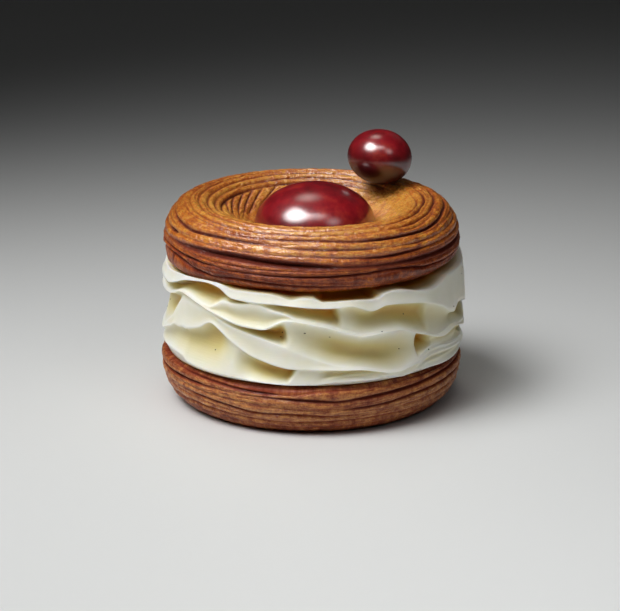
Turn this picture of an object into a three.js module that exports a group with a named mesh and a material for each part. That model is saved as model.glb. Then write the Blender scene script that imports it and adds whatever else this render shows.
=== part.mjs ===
// Paris-Brest pastry: a split choux ring piped in fine strands, a ruffled layer of piped cream
// between the halves, a large glazed ball sunk in the hole and a small glazed ball on the rim.
// Millimetres, +Z up, resting on z = 0, front toward -Y.
import * as THREE from 'three';

// Lower choux ring
const BASE_HEIGHT = 14.8;
const BASE_RADIUS = 43.1;
const BASE_HOLE_RADIUS = 14.5;
const BASE_COLUMNS = 56;

// Cream layer
const CREAM_BOTTOM = 15.15;
const CREAM_TOP = 41.15;
const CREAM_RADIUS = 43.5;
const CREAM_FOOT_RADIUS = 41.4;
const CREAM_COLUMNS = 80;
const RIBBON_GAP = 0.5;

// Upper choux ring
const TOP_UNDERSIDE = 41.5;
const CREST_RADIUS = 34;
const CREST_HEIGHT = 58;
const HOLE_RADIUS = 17.9;
const TOP_COLUMNS = 72;
const LIP_BULGE = 1.0;
const STRAND_CROWN = 0.14;

// Strands that dive down the inner slope at the back left: where each cut between two of them
// starts, in degrees round from the front, and how far along the skin it runs
const DIVE_SWEEP = 48;
const DIVE_TOP = 49.4;
const DIVE_DEPTH = 0.85;
const DIVES = [
  { start: -157, foot: 58.6 },
  { start: -147, foot: 57.8 },
  { start: -139, foot: 56.8 },
  { start: -131, foot: 55.6 },
  { start: -121, foot: 54.2 },
  { start: -110, foot: 53.2 },
  { start: -99, foot: 52.6 },
];

// Large ball in the hole
const LARGE_BALL_RADIUS = 17.4;
const LARGE_BALL_HALF_HEIGHT = 12.2;
const LARGE_BALL_CENTRE = new THREE.Vector3(1.0, 0, 50.3);
const BALL_CLEARANCE = 0.4;

// Small ball on the rim at the back right
const SMALL_BALL_RADIUS = 9.5;
const SMALL_BALL_HALF_HEIGHT = 8.0;
const SMALL_BALL_CENTRE = new THREE.Vector3(20.0, 18.6, 65.7);
const SMALL_BALL_TILT = 8;

const TURN = 2 * Math.PI;

function radians(degrees) {
  return degrees * Math.PI / 180;
}

// Turn 0 is the front and grows toward the right-hand side
function around(turn, radius, height) {
  return new THREE.Vector3(radius * Math.sin(turn), -radius * Math.cos(turn), height);
}

function phase(seed) {
  const value = Math.sin(seed * 12.9898) * 43758.5453;
  return TURN * (value - Math.floor(value));
}

// Seamless unevenness around the ring, about -1 to 1
function wobble(turn, seed, first, last) {
  let sum = 0;
  for (let n = first; n <= last; n += 1) {
    sum += Math.sin(n * turn + phase(31 * seed + n));
  }
  return sum / Math.sqrt(last - first + 1) / 1.3;
}

// Eased 0 to 1 from low to high, or backward where low is the larger
function ease(low, high, value) {
  const share = THREE.MathUtils.clamp((value - low) / (high - low), 0, 1);
  return share * share * (3 - 2 * share);
}

// Turns -180..180 degrees wrapped about a middle
function offsetFrom(turn, degrees) {
  const gap = (turn - radians(degrees)) / TURN;
  return 360 * (gap - Math.round(gap));
}

// Smooth periodic curve through [degrees, value] knots, without overshoot
function ringCurve(knots) {
  const count = knots.length;
  const span = (i) => {
    const [from] = knots[i % count];
    const [to] = knots[(i + 1) % count];
    return (to - from + 360) % 360;
  };
  const secant = (i) => (knots[(i + 1) % count][1] - knots[i % count][1]) / span(i);
  const tangent = (i) => {
    const before = secant((i + count - 1) % count);
    const after = secant(i % count);
    return before * after > 0 ? 2 * before * after / (before + after) : 0;
  };
  return (turn) => {
    let best = 0;
    let along = 0;
    for (let i = 0; i < count; i += 1) {
      const ahead = ((turn * 180 / Math.PI - knots[i][0]) % 360 + 360) % 360;
      if (ahead < span(i)) {
        best = i;
        along = ahead / span(i);
      }
    }
    const width = span(best);
    const a = along * along;
    const b = a * along;
    return (2 * b - 3 * a + 1) * knots[best][1] + (b - 2 * a + along) * width * tangent(best)
      + (3 * a - 2 * b) * knots[(best + 1) % count][1] + (b - a) * width * tangent(best + 1);
  };
}

// Solid from rows of points around the axis. Open at no end: the rows either close on
// themselves or end in a point on the axis.
function sweptSolid(name, material, columns, rows, pointAt, poles) {
  const positions = [];
  const index = [];
  for (let row = 0; row < rows; row += 1) {
    for (let column = 0; column < columns; column += 1) {
      positions.push(...pointAt(TURN * column / columns, row).toArray());
    }
  }
  const last = poles ? rows - 1 : rows;
  for (let row = 0; row < last; row += 1) {
    for (let column = 0; column < columns; column += 1) {
      const next = (column + 1) % columns;
      const above = (row + 1) % rows;
      const a = row * columns + column;
      const b = row * columns + next;
      const c = above * columns + next;
      const d = above * columns + column;
      index.push(a, b, c, a, c, d);
    }
  }
  if (poles) {
    const start = positions.length / 3;
    positions.push(...poles[0].toArray(), ...poles[1].toArray());
    for (let column = 0; column < columns; column += 1) {
      const next = (column + 1) % columns;
      index.push(start, next, column);
      index.push(start + 1, (rows - 1) * columns + column, (rows - 1) * columns + next);
    }
  }
  const geometry = new THREE.BufferGeometry();
  geometry.setAttribute('position', new THREE.Float32BufferAttribute(positions, 3));
  geometry.setIndex(index);
  geometry.computeVertexNormals();
  const mesh = new THREE.Mesh(geometry, material);
  mesh.name = name;
  return mesh;
}

// Closed section of a ring with its running length, used to lay strands along the skin
function skin(points) {
  const curve = new THREE.CatmullRomCurve3(
    points.map(([radius, height]) => new THREE.Vector3(radius, height, 0)), true, 'centripetal');
  curve.arcLengthDivisions = 800;
  const length = curve.getLength();
  return {
    length,
    at(distance, offset) {
      const u = ((distance / length) % 1 + 1) % 1;
      const point = curve.getPointAt(u);
      const along = curve.getTangentAt(u);
      return [point.x + offset * along.y, point.y - offset * along.x];
    },
  };
}

// Turns, in degrees round from the front, at which each groove between strands is measured
const GROOVE_TURNS = [-70, -40, -20, 0, 30, 60, 110, 180, 240];

// Rows across a skin of piped strands. A groove has its distances along the skin and its depths
// at the groove turns. Neighbouring grooves have a crest row halfway between them.
function strandRows(grooves, plain) {
  const measured = (values) => ringCurve(values.map((value, i) => [GROOVE_TURNS[i], value]));
  const placed = grooves.map(({ along, deep }) => {
    const depth = measured(deep);
    return { order: along[0], at: measured(along), offset: (turn) => -depth(turn) };
  });
  const rows = plain.map((distance) => ({ order: distance, at: () => distance, offset: () => 0 }));
  placed.forEach((groove, i) => {
    rows.push(groove);
    const next = placed[i + 1];
    if (next) {
      rows.push({
        order: (groove.order + next.order) / 2,
        at: (turn) => (groove.at(turn) + next.at(turn)) / 2,
        offset: () => STRAND_CROWN,
      });
    }
  });
  return rows.sort((a, b) => a.order - b.order);
}

function chouxMaterial(colour) {
  return new THREE.MeshStandardMaterial({ color: colour, roughness: 0.42, metalness: 0 });
}

function makeChouxBase() {
  const section = skin([
    [BASE_HOLE_RADIUS + 1.5, 0.6],
    [BASE_HOLE_RADIUS + 4, 0],
    [24, 0],
    [33, 0],
    [37, 0.6],
    [40, 2.8],
    [42, 6.2],
    [BASE_RADIUS, 10.6],
    [BASE_RADIUS - 0.1, BASE_HEIGHT - 1.2],
    [BASE_RADIUS - 1.3, BASE_HEIGHT - 0.1],
    [38, BASE_HEIGHT],
    [28, BASE_HEIGHT],
    [BASE_HOLE_RADIUS + 2, BASE_HEIGHT - 0.4],
    [BASE_HOLE_RADIUS, BASE_HEIGHT - 3],
    [BASE_HOLE_RADIUS, 4],
  ]);
  const grooves = [
    {
      along: [24.8, 24.8, 24.5, 24.4, 24.7, 25.0, 24.3, 25.0, 24.4],
      deep: [0.2, 0.35, 0.5, 0.4, 0.3, 0.45, 0.55, 0.3, 0.5],
    },
    {
      along: [27.4, 27.5, 27.0, 26.9, 27.4, 27.8, 27.4, 27.4, 27.1],
      deep: [0.45, 0.45, 0.3, 0.45, 0.4, 0.2, 0.45, 0.35, 0.35],
    },
    {
      along: [30.6, 30.3, 29.2, 29.0, 29.3, 30.1, 29.8, 30.0, 30.1],
      deep: [0.25, 0.75, 0.6, 0.6, 0.25, 0.5, 0.6, 0.35, 0.55],
    },
    {
      along: [32.8, 32.5, 31.8, 31.0, 31.5, 33.0, 33.1, 32.4, 32.8],
      deep: [0.3, 0.2, 0.15, 0.2, 0.85, 0.9, 0.55, 0.6, 0.45],
    },
    {
      along: [34.6, 34.6, 34.1, 34.0, 34.5, 35.6, 35.6, 34.8, 35.3],
      deep: [0.95, 0.5, 0.4, 1.0, 1.1, 1.0, 0.6, 0.9, 0.7],
    },
    {
      along: [37.6, 36.8, 35.9, 36.6, 37.2, 37.8, 37.7, 37.5, 37.7],
      deep: [0.3, 0.9, 1.0, 0.35, 0.3, 0.7, 0.4, 0.5, 0.4],
    },
  ];
  const rows = strandRows(grooves, [1.5, 6, 14, 19, 40.4, 46, 56, 61.5, 66]);
  const pointAt = (turn, row) => {
    const [radius, height] = section.at(rows[row].at(turn), rows[row].offset(turn));
    return around(turn, radius + 0.15 * wobble(turn, 9, 1, 5), Math.max(height, 0));
  };
  return sweptSolid('choux_base', chouxMaterial(0x8a4a2a), BASE_COLUMNS, rows.length, pointAt);
}

// Heights of the crisp edges of the piped ribbons, [degrees round from the front, height]
const BROW_EDGE = ringCurve([
  [-90, 40.4], [-75, 40.6], [-60, 41.2], [-46, 42.3], [-38, 42.5], [-30, 41.1], [-17, 41.1],
  [-12, 40.6], [-8, 39.7], [-3, 40.4], [1, 40.2], [5, 39.4], [15, 39.6], [26, 39.2], [29, 40.4],
  [33, 40.9], [38, 40.4], [45, 39.2], [52, 38.6], [58, 39.4], [64, 40.9], [80, 41.1],
  [104, 42.0], [125, 41.2], [135, 39.6], [150, 39.2], [158, 40.6], [180, 41.0], [200, 40.2],
  [215, 39.0], [228, 39.4], [236, 40.8],
]);
const UPPER_RIBBON = ringCurve([
  [-122, 41.2], [-96, 38.2], [-71, 35.9], [-54, 39.4], [-42, 41.6], [-37, 41.2], [-31, 39.0],
  [-20, 38.6], [8, 38.0], [14, 38.2], [23, 36.2], [29, 37.4], [44, 36.0], [56, 33.4], [66, 29.8],
  [70, 31.6], [84, 29.5], [104, 41.0], [125, 39.6], [160, 36.5], [195, 31.5], [218, 29.0],
]);
const MIDDLE_RIBBON = ringCurve([
  [-114, 33.5], [-90, 34.4], [-69, 35.0], [-57, 36.8], [-48, 35.6], [-38, 33.6], [-26, 31.4],
  [-19, 31.2], [-9, 34.4], [3, 32.8], [13, 30.6], [20, 29.4], [33, 29.6], [45, 27.0], [58, 24.2],
  [66, 25.2], [90, 21.4], [108, 22.0], [122, 34.5], [140, 33.5], [170, 29.0], [205, 22.5],
  [226, 21.5],
]);
const LOWER_RIBBON = ringCurve([
  [-102, 24.0], [-86, 22.0], [-67, 27.6], [-54, 35.6], [-40, 32.9], [-32, 31.0], [-22, 29.2],
  [-9, 25.8], [0, 23.4], [10, 21.2], [20, 20.0], [34, 18.2], [42, 19.4], [52, 22.4], [62, 21.2],
  [77, 19.6], [90, 18.9], [112, 18.4], [128, 20.0], [142, 28.5], [165, 26.0], [200, 19.5],
  [238, 18.6],
]);
const BOTTOM_EDGE = ringCurve([
  [-120, 16.4], [-92, 17.2], [-64, 18.2], [-58, 17.9], [-55.5, 16.7], [-45, 16.3], [-30, 16.2],
  [-20, 15.9], [-8, 15.6], [2, 15.9], [10, 16.6], [30, 16.6], [36, 15.8], [42, 16.5], [60, 16.0],
  [75, 16.3], [92, 16.9], [120, 16.2], [150, 17.2], [180, 16.4], [210, 17.4],
]);
// Two thinner ribbons lie between their neighbours, as a share of the gap
const INNER_RIBBON_SHARE = ringCurve([
  [-92, 0.9], [-50, 0.94], [-43, 0.9], [-33, 0.3], [-26, 0.14], [-22, 0.05], [-16, 0.24],
  [-10, 0.6], [-5, 0.9], [60, 0.96], [100, 0.5], [150, 0.15], [185, 0.6], [215, 0.94],
  [245, 0.3],
]);
const ROLLED_EDGE_SHARE = ringCurve([
  [-92, 0.2], [-67, 0.06], [-57, 0.34], [-40, 0.12], [-31, 0.28], [-22, 0.46], [-10, 0.54],
  [0, 0.4], [10, 0.24], [20, 0.14], [34, 0.2], [47, 0.42], [60, 0.36], [80, 0.5], [142, 0.3],
  [180, 0.6], [238, 0.4],
]);
// Where the cream leaves the flat under the top ring, and how far it sinks before its edge
const TROUGH_START = ringCurve([
  [-90, 38.0], [-60, 36.0], [-45, 36.0], [-35, 38.0], [-17, 38.4], [-8, 36.0], [-2, 37.4],
  [2, 36.0], [5, 32.6], [24, 32.6], [28, 36.0], [33, 38.0], [40, 35.0], [50, 33.6], [58, 35.0],
  [64, 38.4], [100, 38.4], [125, 36.0], [140, 33.6], [152, 35.0], [160, 38.2], [185, 38.0],
  [205, 35.0], [222, 33.6], [234, 38.2],
]);
const TROUGH_DIP = ringCurve([
  [-90, 0.4], [-60, 0.9], [-45, 0.6], [-35, 0.0], [-17, 0.0], [-8, 0.6], [0, 0.3], [5, 2.0],
  [24, 2.0], [27.5, 0.3], [35, 0.2], [45, 1.4], [54, 1.2], [62, 0.0], [110, 0.0], [128, 1.4],
  [148, 1.6], [156, 0.2], [185, 0.1], [205, 1.4], [224, 1.8], [232, 0.1],
]);
// Each edge from the top down: how far it stands in from the cream's radius, and how far it
// swells on the right-hand side
const EDGES = [
  { inset: 1.2, bulge: 0.9 },
  { inset: 0.2, bulge: 0.9 },
  { inset: 0.9, bulge: 0.8 },
  { inset: 0.0, bulge: 0.7 },
  { inset: 0.7, bulge: 0.3 },
  { inset: 0.1, bulge: 0.1 },
  { inset: 0.3, bulge: 0.0 },
];

// Hollow bands between the edges, from the top down. Rows and peak are shares of the way down,
// depth is in millimetres, and lean turns a step in the depth by that many degrees.
const EVEN = () => 0.42;
const VALLEYS = [
  {
    rows: [0, 0.5],
    depth: () => 0.25,
    peak: EVEN,
    lean: 0,
  },
  {
    rows: [0, 0.12, 0.32, 0.6, 0.85],
    depth: ringCurve([
      [-90, 2.5], [-74, 3.0], [-60, 4.0], [-45, 5.0], [-30, 4.6], [-25, 2.4], [-20, 1.2],
      [-12, 3.2], [0, 5.2], [8.2, 6.6], [10.6, 1.0], [20, 2.4], [35, 3.8], [47, 3.6], [50, 1.4],
      [62, 1.4], [75, 3.2], [95, 5.4], [97, 1.0], [120, 3.4], [146, 5.6], [148, 1.2], [175, 3.0],
      [198, 5.6], [200, 1.0], [225, 3.0], [248, 5.4], [250, 1.2],
    ]),
    peak: EVEN,
    lean: -2,
  },
  {
    rows: [0, 0.5],
    depth: ringCurve([
      [-90, 0.6], [-45, 0.6], [-30, 1.4], [-15, 1.2], [0, 0.5], [60, 0.4], [120, 0.9],
      [185, 1.4], [240, 1.2],
    ]),
    peak: () => 0.7,
    lean: 0,
  },
  {
    rows: [0, 0.08, 0.25, 0.45, 0.68, 0.88],
    depth: ringCurve([
      [-90, 2.0], [-70, 3.6], [-57, 0.5], [-46, 0.6], [-36, 1.6], [-27, 4.6], [-11.8, 7.4],
      [-9.4, 0.8], [-4, 1.2], [3, 2.8], [12, 4.2], [24, 4.0], [34, 2.4], [42.5, 1.0],
      [44.5, 5.4], [49, 5.0], [51.5, 1.0], [60, 1.4], [78, 1.8], [90, 5.0], [92, 1.0],
      [115, 3.6], [138, 5.6], [140, 1.2], [165, 3.6], [189, 6.4], [191, 1.0], [215, 3.6],
      [239, 6.0], [241, 1.0],
    ]),
    peak: ringCurve([
      [-90, 0.4], [-11, 0.4], [-8, 0.6], [6, 0.72], [26, 0.74], [40, 0.55], [44, 0.4], [90, 0.4],
      [115, 0.6], [165, 0.62], [215, 0.6],
    ]),
    lean: -1,
  },
  {
    rows: [0, 0.5],
    depth: ringCurve([
      [-90, 0.2], [-50, 0.5], [-10, 0.3], [60, 0.2], [150, 0.5], [220, 0.3],
    ]),
    peak: () => 0.6,
    lean: 0,
  },
  {
    rows: [0, 0.1, 0.34, 0.7],
    depth: ringCurve([
      [-90, 0.8], [-76, 1.0], [-66, 3.0], [-50, 4.8], [-38, 4.8], [-35.4, 1.0], [-30, 0.6],
      [-25, 2.2], [-17, 4.0], [-8.6, 4.2], [-6.6, 0.5], [1, 0.5], [6, 1.4], [16, 1.7], [24, 1.0],
      [29, 0.3], [42, 0.4], [60, 0.8], [78, 1.0], [92, 2.6], [94, 0.5], [120, 2.0], [142, 3.8],
      [144, 0.6], [170, 2.2], [192, 3.8], [194, 0.6], [218, 2.2], [242, 3.6], [244, 0.6],
    ]),
    peak: ringCurve([
      [-90, 0.5], [-50, 0.34], [-36, 0.34], [-20, 0.4], [60, 0.4], [180, 0.4],
    ]),
    lean: 4,
  },
  {
    rows: [0],
    depth: () => 0,
    peak: EVEN,
    lean: 0,
  },
];

function edgeHeights(turn) {
  const ripple = 0.2 * wobble(turn, 5, 6, 13);
  const upper = UPPER_RIBBON(turn) + ripple;
  const brow = Math.max(BROW_EDGE(turn), upper + RIBBON_GAP);
  const middle = Math.min(MIDDLE_RIBBON(turn) - ripple, upper - 2 * RIBBON_GAP);
  const inner = THREE.MathUtils.clamp(
    upper + (middle - upper) * INNER_RIBBON_SHARE(turn), middle + RIBBON_GAP, upper - RIBBON_GAP);
  const lower = Math.min(LOWER_RIBBON(turn) + ripple, middle - RIBBON_GAP);
  const foot = Math.min(BOTTOM_EDGE(turn), lower - 2 * RIBBON_GAP);
  const rolled = THREE.MathUtils.clamp(
    lower + (foot - lower) * ROLLED_EDGE_SHARE(turn), foot + RIBBON_GAP, lower - RIBBON_GAP);
  return [brow, upper, inner, middle, lower, rolled, foot];
}

function edgeReach(turn, edge) {
  const { inset, bulge } = EDGES[edge];
  const fuller = bulge * ease(48, 5, Math.abs(offsetFrom(turn, 88)));
  return CREAM_RADIUS + 0.3 * Math.sin(turn) + fuller - inset + 0.3 * wobble(turn, 70 + edge, 3, 9);
}

// From under the top ring (share 0) out to the first edge (share 1)
function troughPoint(turn, share) {
  const start = TROUGH_START(turn);
  const radius = start + (edgeReach(turn, 0) - start) * share;
  const rise = (edgeHeights(turn)[0] - CREAM_TOP) * share ** 2.2;
  const sink = TROUGH_DIP(turn) * Math.sin(Math.PI * share ** 0.8);
  return around(turn, radius, CREAM_TOP + rise - sink);
}

// From one edge (share 0) down to the next (share 1)
function valleyPoint(turn, valley, share) {
  const heights = edgeHeights(turn);
  const { depth, peak, lean } = VALLEYS[valley];
  const start = edgeReach(turn, valley);
  const last = valley === VALLEYS.length - 1;
  const end = last ? CREAM_FOOT_RADIUS : edgeReach(turn, valley + 1);
  const drop = heights[valley] - (last ? CREAM_BOTTOM : heights[valley + 1]);
  const most = depth(turn + radians(lean) * (share - 0.5)) * ease(0, 2.2, drop);
  const hollow = Math.sin(Math.PI * share ** (Math.log(0.5) / Math.log(peak(turn)))) ** 1.1;
  const radius = start + (end - start) * share - most * hollow;
  return around(turn, radius, heights[valley] - drop * share ** 1.2);
}

// Pocket that the large ball sits in, sunk into the top of the cream
function pocketPoint(turn, share) {
  const reach = LARGE_BALL_RADIUS + BALL_CLEARANCE;
  const depth = LARGE_BALL_HALF_HEIGHT + BALL_CLEARANCE;
  const brim = Math.asin((LARGE_BALL_CENTRE.z - CREAM_TOP) / depth);
  const tilt = brim + (Math.PI / 2 - brim) * share;
  const point = around(turn, reach * Math.cos(tilt), LARGE_BALL_CENTRE.z - depth * Math.sin(tilt));
  point.x += LARGE_BALL_CENTRE.x;
  return point;
}

function makeCream() {
  const material = new THREE.MeshStandardMaterial({ color: 0xf1ecd8, roughness: 0.5, metalness: 0 });
  const steps = [
    ...[0.8, 0.6, 0.4, 0.2, 0].map((share) => (turn) => pocketPoint(turn, share)),
    (turn) => around(turn, 28, CREAM_TOP),
    ...[0, 0.35, 0.7].map((share) => (turn) => troughPoint(turn, share)),
  ];
  VALLEYS.forEach(({ rows }, valley) => {
    rows.forEach((t) => steps.push((turn) => valleyPoint(turn, valley, t)));
  });
  steps.push(
    (turn) => around(turn, CREAM_FOOT_RADIUS, CREAM_BOTTOM),
    (turn) => around(turn, 22, CREAM_BOTTOM),
  );
  steps.reverse();
  const floor = new THREE.Vector3(0, 0, CREAM_BOTTOM);
  const pit = new THREE.Vector3(
    LARGE_BALL_CENTRE.x, 0, LARGE_BALL_CENTRE.z - LARGE_BALL_HALF_HEIGHT - BALL_CLEARANCE);
  const pointAt = (turn, row) => steps[row](turn);
  return sweptSolid('cream', material, CREAM_COLUMNS, steps.length, pointAt, [floor, pit]);
}

// The lowest fold of the outside swells down over the cream at the front left
function lipBulge(turn, distance) {
  const side = ease(-38, -58, offsetFrom(turn, 0)) * ease(-92, -76, offsetFrom(turn, 0));
  return LIP_BULGE * side * ease(17.5, 20, distance) * ease(25, 22, distance);
}

// How deep the cuts between the diving strands are
function diveCut(turn, distance) {
  return DIVES.reduce((deepest, { start, foot }) => {
    const along = offsetFrom(turn, start) / DIVE_SWEEP;
    const line = foot - (foot - DIVE_TOP) * THREE.MathUtils.clamp(1 - along, 0, 1) ** 1.8;
    const ends = ease(-0.02, 0.06, along) * ease(1.15, 0.8, along);
    const near = Math.exp(-(Math.abs(distance - line) ** 1.7));
    return Math.max(deepest, DIVE_DEPTH * ends * near);
  }, 0);
}

function makeChouxTop() {
  const section = skin([
    [HOLE_RADIUS + 1.6, TOP_UNDERSIDE + 0.4],
    [HOLE_RADIUS + 4, TOP_UNDERSIDE],
    [29, TOP_UNDERSIDE],
    [36.5, TOP_UNDERSIDE],
    [39.6, 41.9],
    [41.6, 43.8],
    [42.4, 46.8],
    [42.2, 50],
    [40.8, 53.6],
    [38, 56.8],
    [CREST_RADIUS, CREST_HEIGHT],
    [30, 57.3],
    [25, 54.6],
    [20.9, 51.6],
    [HOLE_RADIUS + 0.2, 49.4],
    [HOLE_RADIUS, 46.5],
    [HOLE_RADIUS + 0.3, 43.5],
  ]);
  const grooves = [
    {
      along: [25.9, 23.0, 23.3, 22.5, 21.3, 21.9, 23.2, 23.1, 22.9],
      deep: [0.8, 0.7, 0.9, 0.9, 0.4, 0.75, 0.65, 0.8, 0.9],
    },
    {
      along: [27.4, 26.3, 25.9, 25.8, 26.4, 24.7, 25.9, 25.6, 26.6],
      deep: [0.7, 0.4, 0.55, 0.9, 0.8, 0.6, 0.7, 0.6, 0.8],
    },
    {
      along: [29.5, 30.0, 29.7, 28.9, 28.0, 27.9, 28.9, 29.0, 29.2],
      deep: [0.5, 1.7, 2.1, 1.6, 0.65, 1.2, 0.9, 1.4, 1.0],
    },
    {
      along: [32.0, 31.9, 31.7, 31.5, 30.2, 30.8, 31.3, 31.1, 31.9],
      deep: [1.0, 0.3, 0.3, 0.4, 1.0, 0.3, 0.6, 0.6, 0.45],
    },
    {
      along: [35.1, 34.8, 34.6, 33.6, 32.8, 32.9, 33.8, 33.4, 34.8],
      deep: [0.8, 0.95, 0.6, 0.6, 0.2, 0.2, 0.6, 0.6, 0.4],
    },
    {
      along: [37.9, 36.8, 36.4, 36.2, 35.3, 35.8, 37.2, 36.6, 37.6],
      deep: [0.2, 0.3, 0.55, 0.6, 1.1, 1.15, 0.5, 0.6, 0.4],
    },
    {
      along: [40.5, 39.0, 38.4, 38.2, 38.1, 39.4, 40.4, 39.3, 40.6],
      deep: [0.4, 0.55, 0.6, 0.5, 0.3, 0.65, 0.5, 0.5, 0.5],
    },
    {
      along: [42.9, 41.5, 40.8, 40.3, 40.5, 42.2, 43.5, 42.1, 42.9],
      deep: [0.4, 0.5, 0.45, 0.4, 0.5, 0.9, 0.4, 0.55, 0.5],
    },
    {
      along: [45.4, 44.2, 43.5, 43.0, 43.5, 44.9, 46.2, 44.7, 45.5],
      deep: [0.5, 0.4, 0.4, 0.4, 0.5, 0.75, 0.2, 0.7, 0.5],
    },
    {
      along: [47.7, 46.9, 46.4, 46.0, 46.6, 47.6, 48.3, 46.9, 47.6],
      deep: [0.5, 0.5, 0.5, 0.5, 0.45, 0.4, 0.1, 0.8, 0.4],
    },
    {
      along: [49.7, 49.2, 48.9, 48.8, 49.6, 50.6, 50.8, 49.2, 49.7],
      deep: [0.6, 0.6, 0.6, 0.6, 0.45, 0.3, 0.1, 0.8, 0.75],
    },
    {
      along: [53.2, 52.6, 52.1, 51.8, 52.2, 52.8, 53.4, 52.0, 53.1],
      deep: [0.2, 0.6, 0.7, 0.7, 0.6, 0.3, 0.1, 0.65, 0],
    },
    {
      along: [56.5, 55.9, 55.4, 55.2, 55.5, 56.0, 56.5, 55.0, 56.4],
      deep: [0.2, 0.6, 0.6, 0.6, 0.6, 0.3, 0.1, 0.65, 0],
    },
  ];
  const rows = strandRows(grooves, [1.5, 8, 16, 18.2, 20, 58.6, 61, 63.8]);
  const pointAt = (turn, row) => {
    const distance = rows[row].at(turn);
    const lift = lipBulge(turn, distance) - diveCut(turn, distance);
    const [radius, height] = section.at(distance, rows[row].offset(turn) + lift);
    const point = around(turn, radius + 0.2 * wobble(turn, 7, 1, 5), height);
    point.x += LARGE_BALL_CENTRE.x * ease(CREST_RADIUS, HOLE_RADIUS + 4, radius);
    point.z = Math.max(point.z, TOP_UNDERSIDE);
    return point;
  };
  return sweptSolid('choux_top', chouxMaterial(0xb06a33), TOP_COLUMNS, rows.length, pointAt);
}

function makeBall(name, radius, halfHeight, centre, tilt, columns, rows) {
  const material = new THREE.MeshStandardMaterial({ color: 0x7c1520, roughness: 0.12, metalness: 0 });
  const lean = new THREE.Matrix4().makeRotationY(radians(tilt));
  const place = (point) => point.applyMatrix4(lean).add(centre);
  const pointAt = (turn, row) => {
    const angle = Math.PI * (row + 1) / (rows + 1) - Math.PI / 2;
    return place(around(turn, radius * Math.cos(angle), halfHeight * Math.sin(angle)));
  };
  const poles = [
    place(new THREE.Vector3(0, 0, -halfHeight)),
    place(new THREE.Vector3(0, 0, halfHeight)),
  ];
  return sweptSolid(name, material, columns, rows, pointAt, poles);
}

const pastry = new THREE.Group();
pastry.name = 'paris_brest';
pastry.add(makeChouxBase());
pastry.add(makeCream());
pastry.add(makeChouxTop());
pastry.add(makeBall('large_glazed_ball', LARGE_BALL_RADIUS, LARGE_BALL_HALF_HEIGHT,
  LARGE_BALL_CENTRE, 0, 28, 13));
pastry.add(makeBall('small_glazed_ball', SMALL_BALL_RADIUS, SMALL_BALL_HALF_HEIGHT,
  SMALL_BALL_CENTRE, SMALL_BALL_TILT, 24, 11));

export default pastry;
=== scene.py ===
"""Paris-Brest pastry: two baked choux rings, a ruffled cream layer and two glazed balls.

Lengths in this file are millimetres until a mesh is made. Turn 0 is the front of the pastry,
toward -Y, and grows toward its right-hand side.
"""
import logging
import math
from dataclasses import dataclass, field
from enum import Enum
from typing import ClassVar, Optional, Sequence, Union

import bpy
import numpy as np
from mathutils import Matrix, Vector
from mathutils.bvhtree import BVHTree


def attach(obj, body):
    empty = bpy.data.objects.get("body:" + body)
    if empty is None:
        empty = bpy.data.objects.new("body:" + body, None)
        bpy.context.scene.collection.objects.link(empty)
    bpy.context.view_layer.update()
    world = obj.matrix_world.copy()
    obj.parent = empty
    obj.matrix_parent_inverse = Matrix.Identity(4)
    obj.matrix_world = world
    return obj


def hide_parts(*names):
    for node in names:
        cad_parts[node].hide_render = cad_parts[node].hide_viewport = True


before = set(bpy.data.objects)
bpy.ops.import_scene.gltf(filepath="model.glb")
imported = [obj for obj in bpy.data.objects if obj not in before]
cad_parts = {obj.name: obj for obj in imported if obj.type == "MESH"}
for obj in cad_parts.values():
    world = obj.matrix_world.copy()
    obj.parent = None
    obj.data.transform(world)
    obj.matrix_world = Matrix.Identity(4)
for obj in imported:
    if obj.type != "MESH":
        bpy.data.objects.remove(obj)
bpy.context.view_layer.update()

MM = 0.001
TURN = 2 * math.pi

# What fixed angles and the soft fields are worked out with
PHASE_RATE = 12.9898
PHASE_SCALE = 43758.5453
SEED_STEP = 31
WOBBLE_PEAK = 1.3
GRAIN_PEAK = 1.6

# Large ball, which the cream's pocket and the upper ring's hole follow
LARGE_BALL_RADIUS = 17.4
LARGE_BALL_HALF_HEIGHT = 12.2
LARGE_BALL_CENTRE = (1.0, 0.0, 50.3)

Array = np.ndarray
Number = Union[float, Array]
Knots = Sequence[tuple[float, float]]

log = logging.getLogger("paris_brest")


# --- Form helpers ---------------------------------------------------------------------------


def phase(seed: float) -> float:
    """Return a fixed angle for a seed."""
    value = math.sin(seed * PHASE_RATE) * PHASE_SCALE
    return TURN * (value - math.floor(value))


def draw(seed: float) -> float:
    """Return a fixed number between 0 and 1 for a seed."""
    return phase(seed) / TURN


def wobble(turn: Number, seed: float, first: int, last: int) -> Number:
    """Seamless unevenness around the ring, about -1 to 1.

    Args:
        turn: Angle round the pastry in radians.
        seed: Chooses one wobble out of many.
        first: Fewest waves in a whole turn.
        last: Most waves in a whole turn.

    Returns:
        The unevenness at each turn.
    """
    total = 0.0
    for waves in range(first, last + 1):
        total = total + np.sin(waves * turn + phase(SEED_STEP * seed + waves))
    return total / math.sqrt(last - first + 1) / WOBBLE_PEAK


def ease(low: float, high: float, value: Number) -> Number:
    """Eased 0 to 1 from low to high, or backward where low is the larger.

    Args:
        low: Value that gives 0.
        high: Value that gives 1.
        value: Where to read the curve.

    Returns:
        The eased share at each value.
    """
    share = np.clip((value - low) / (high - low), 0.0, 1.0)
    return share * share * (3 - 2 * share)


def offset_from(turn: Number, degrees: float) -> Number:
    """Degrees from a place round the ring, -180 to 180."""
    gap = (turn - math.radians(degrees)) / TURN
    return 360 * (gap - np.round(gap))


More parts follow.
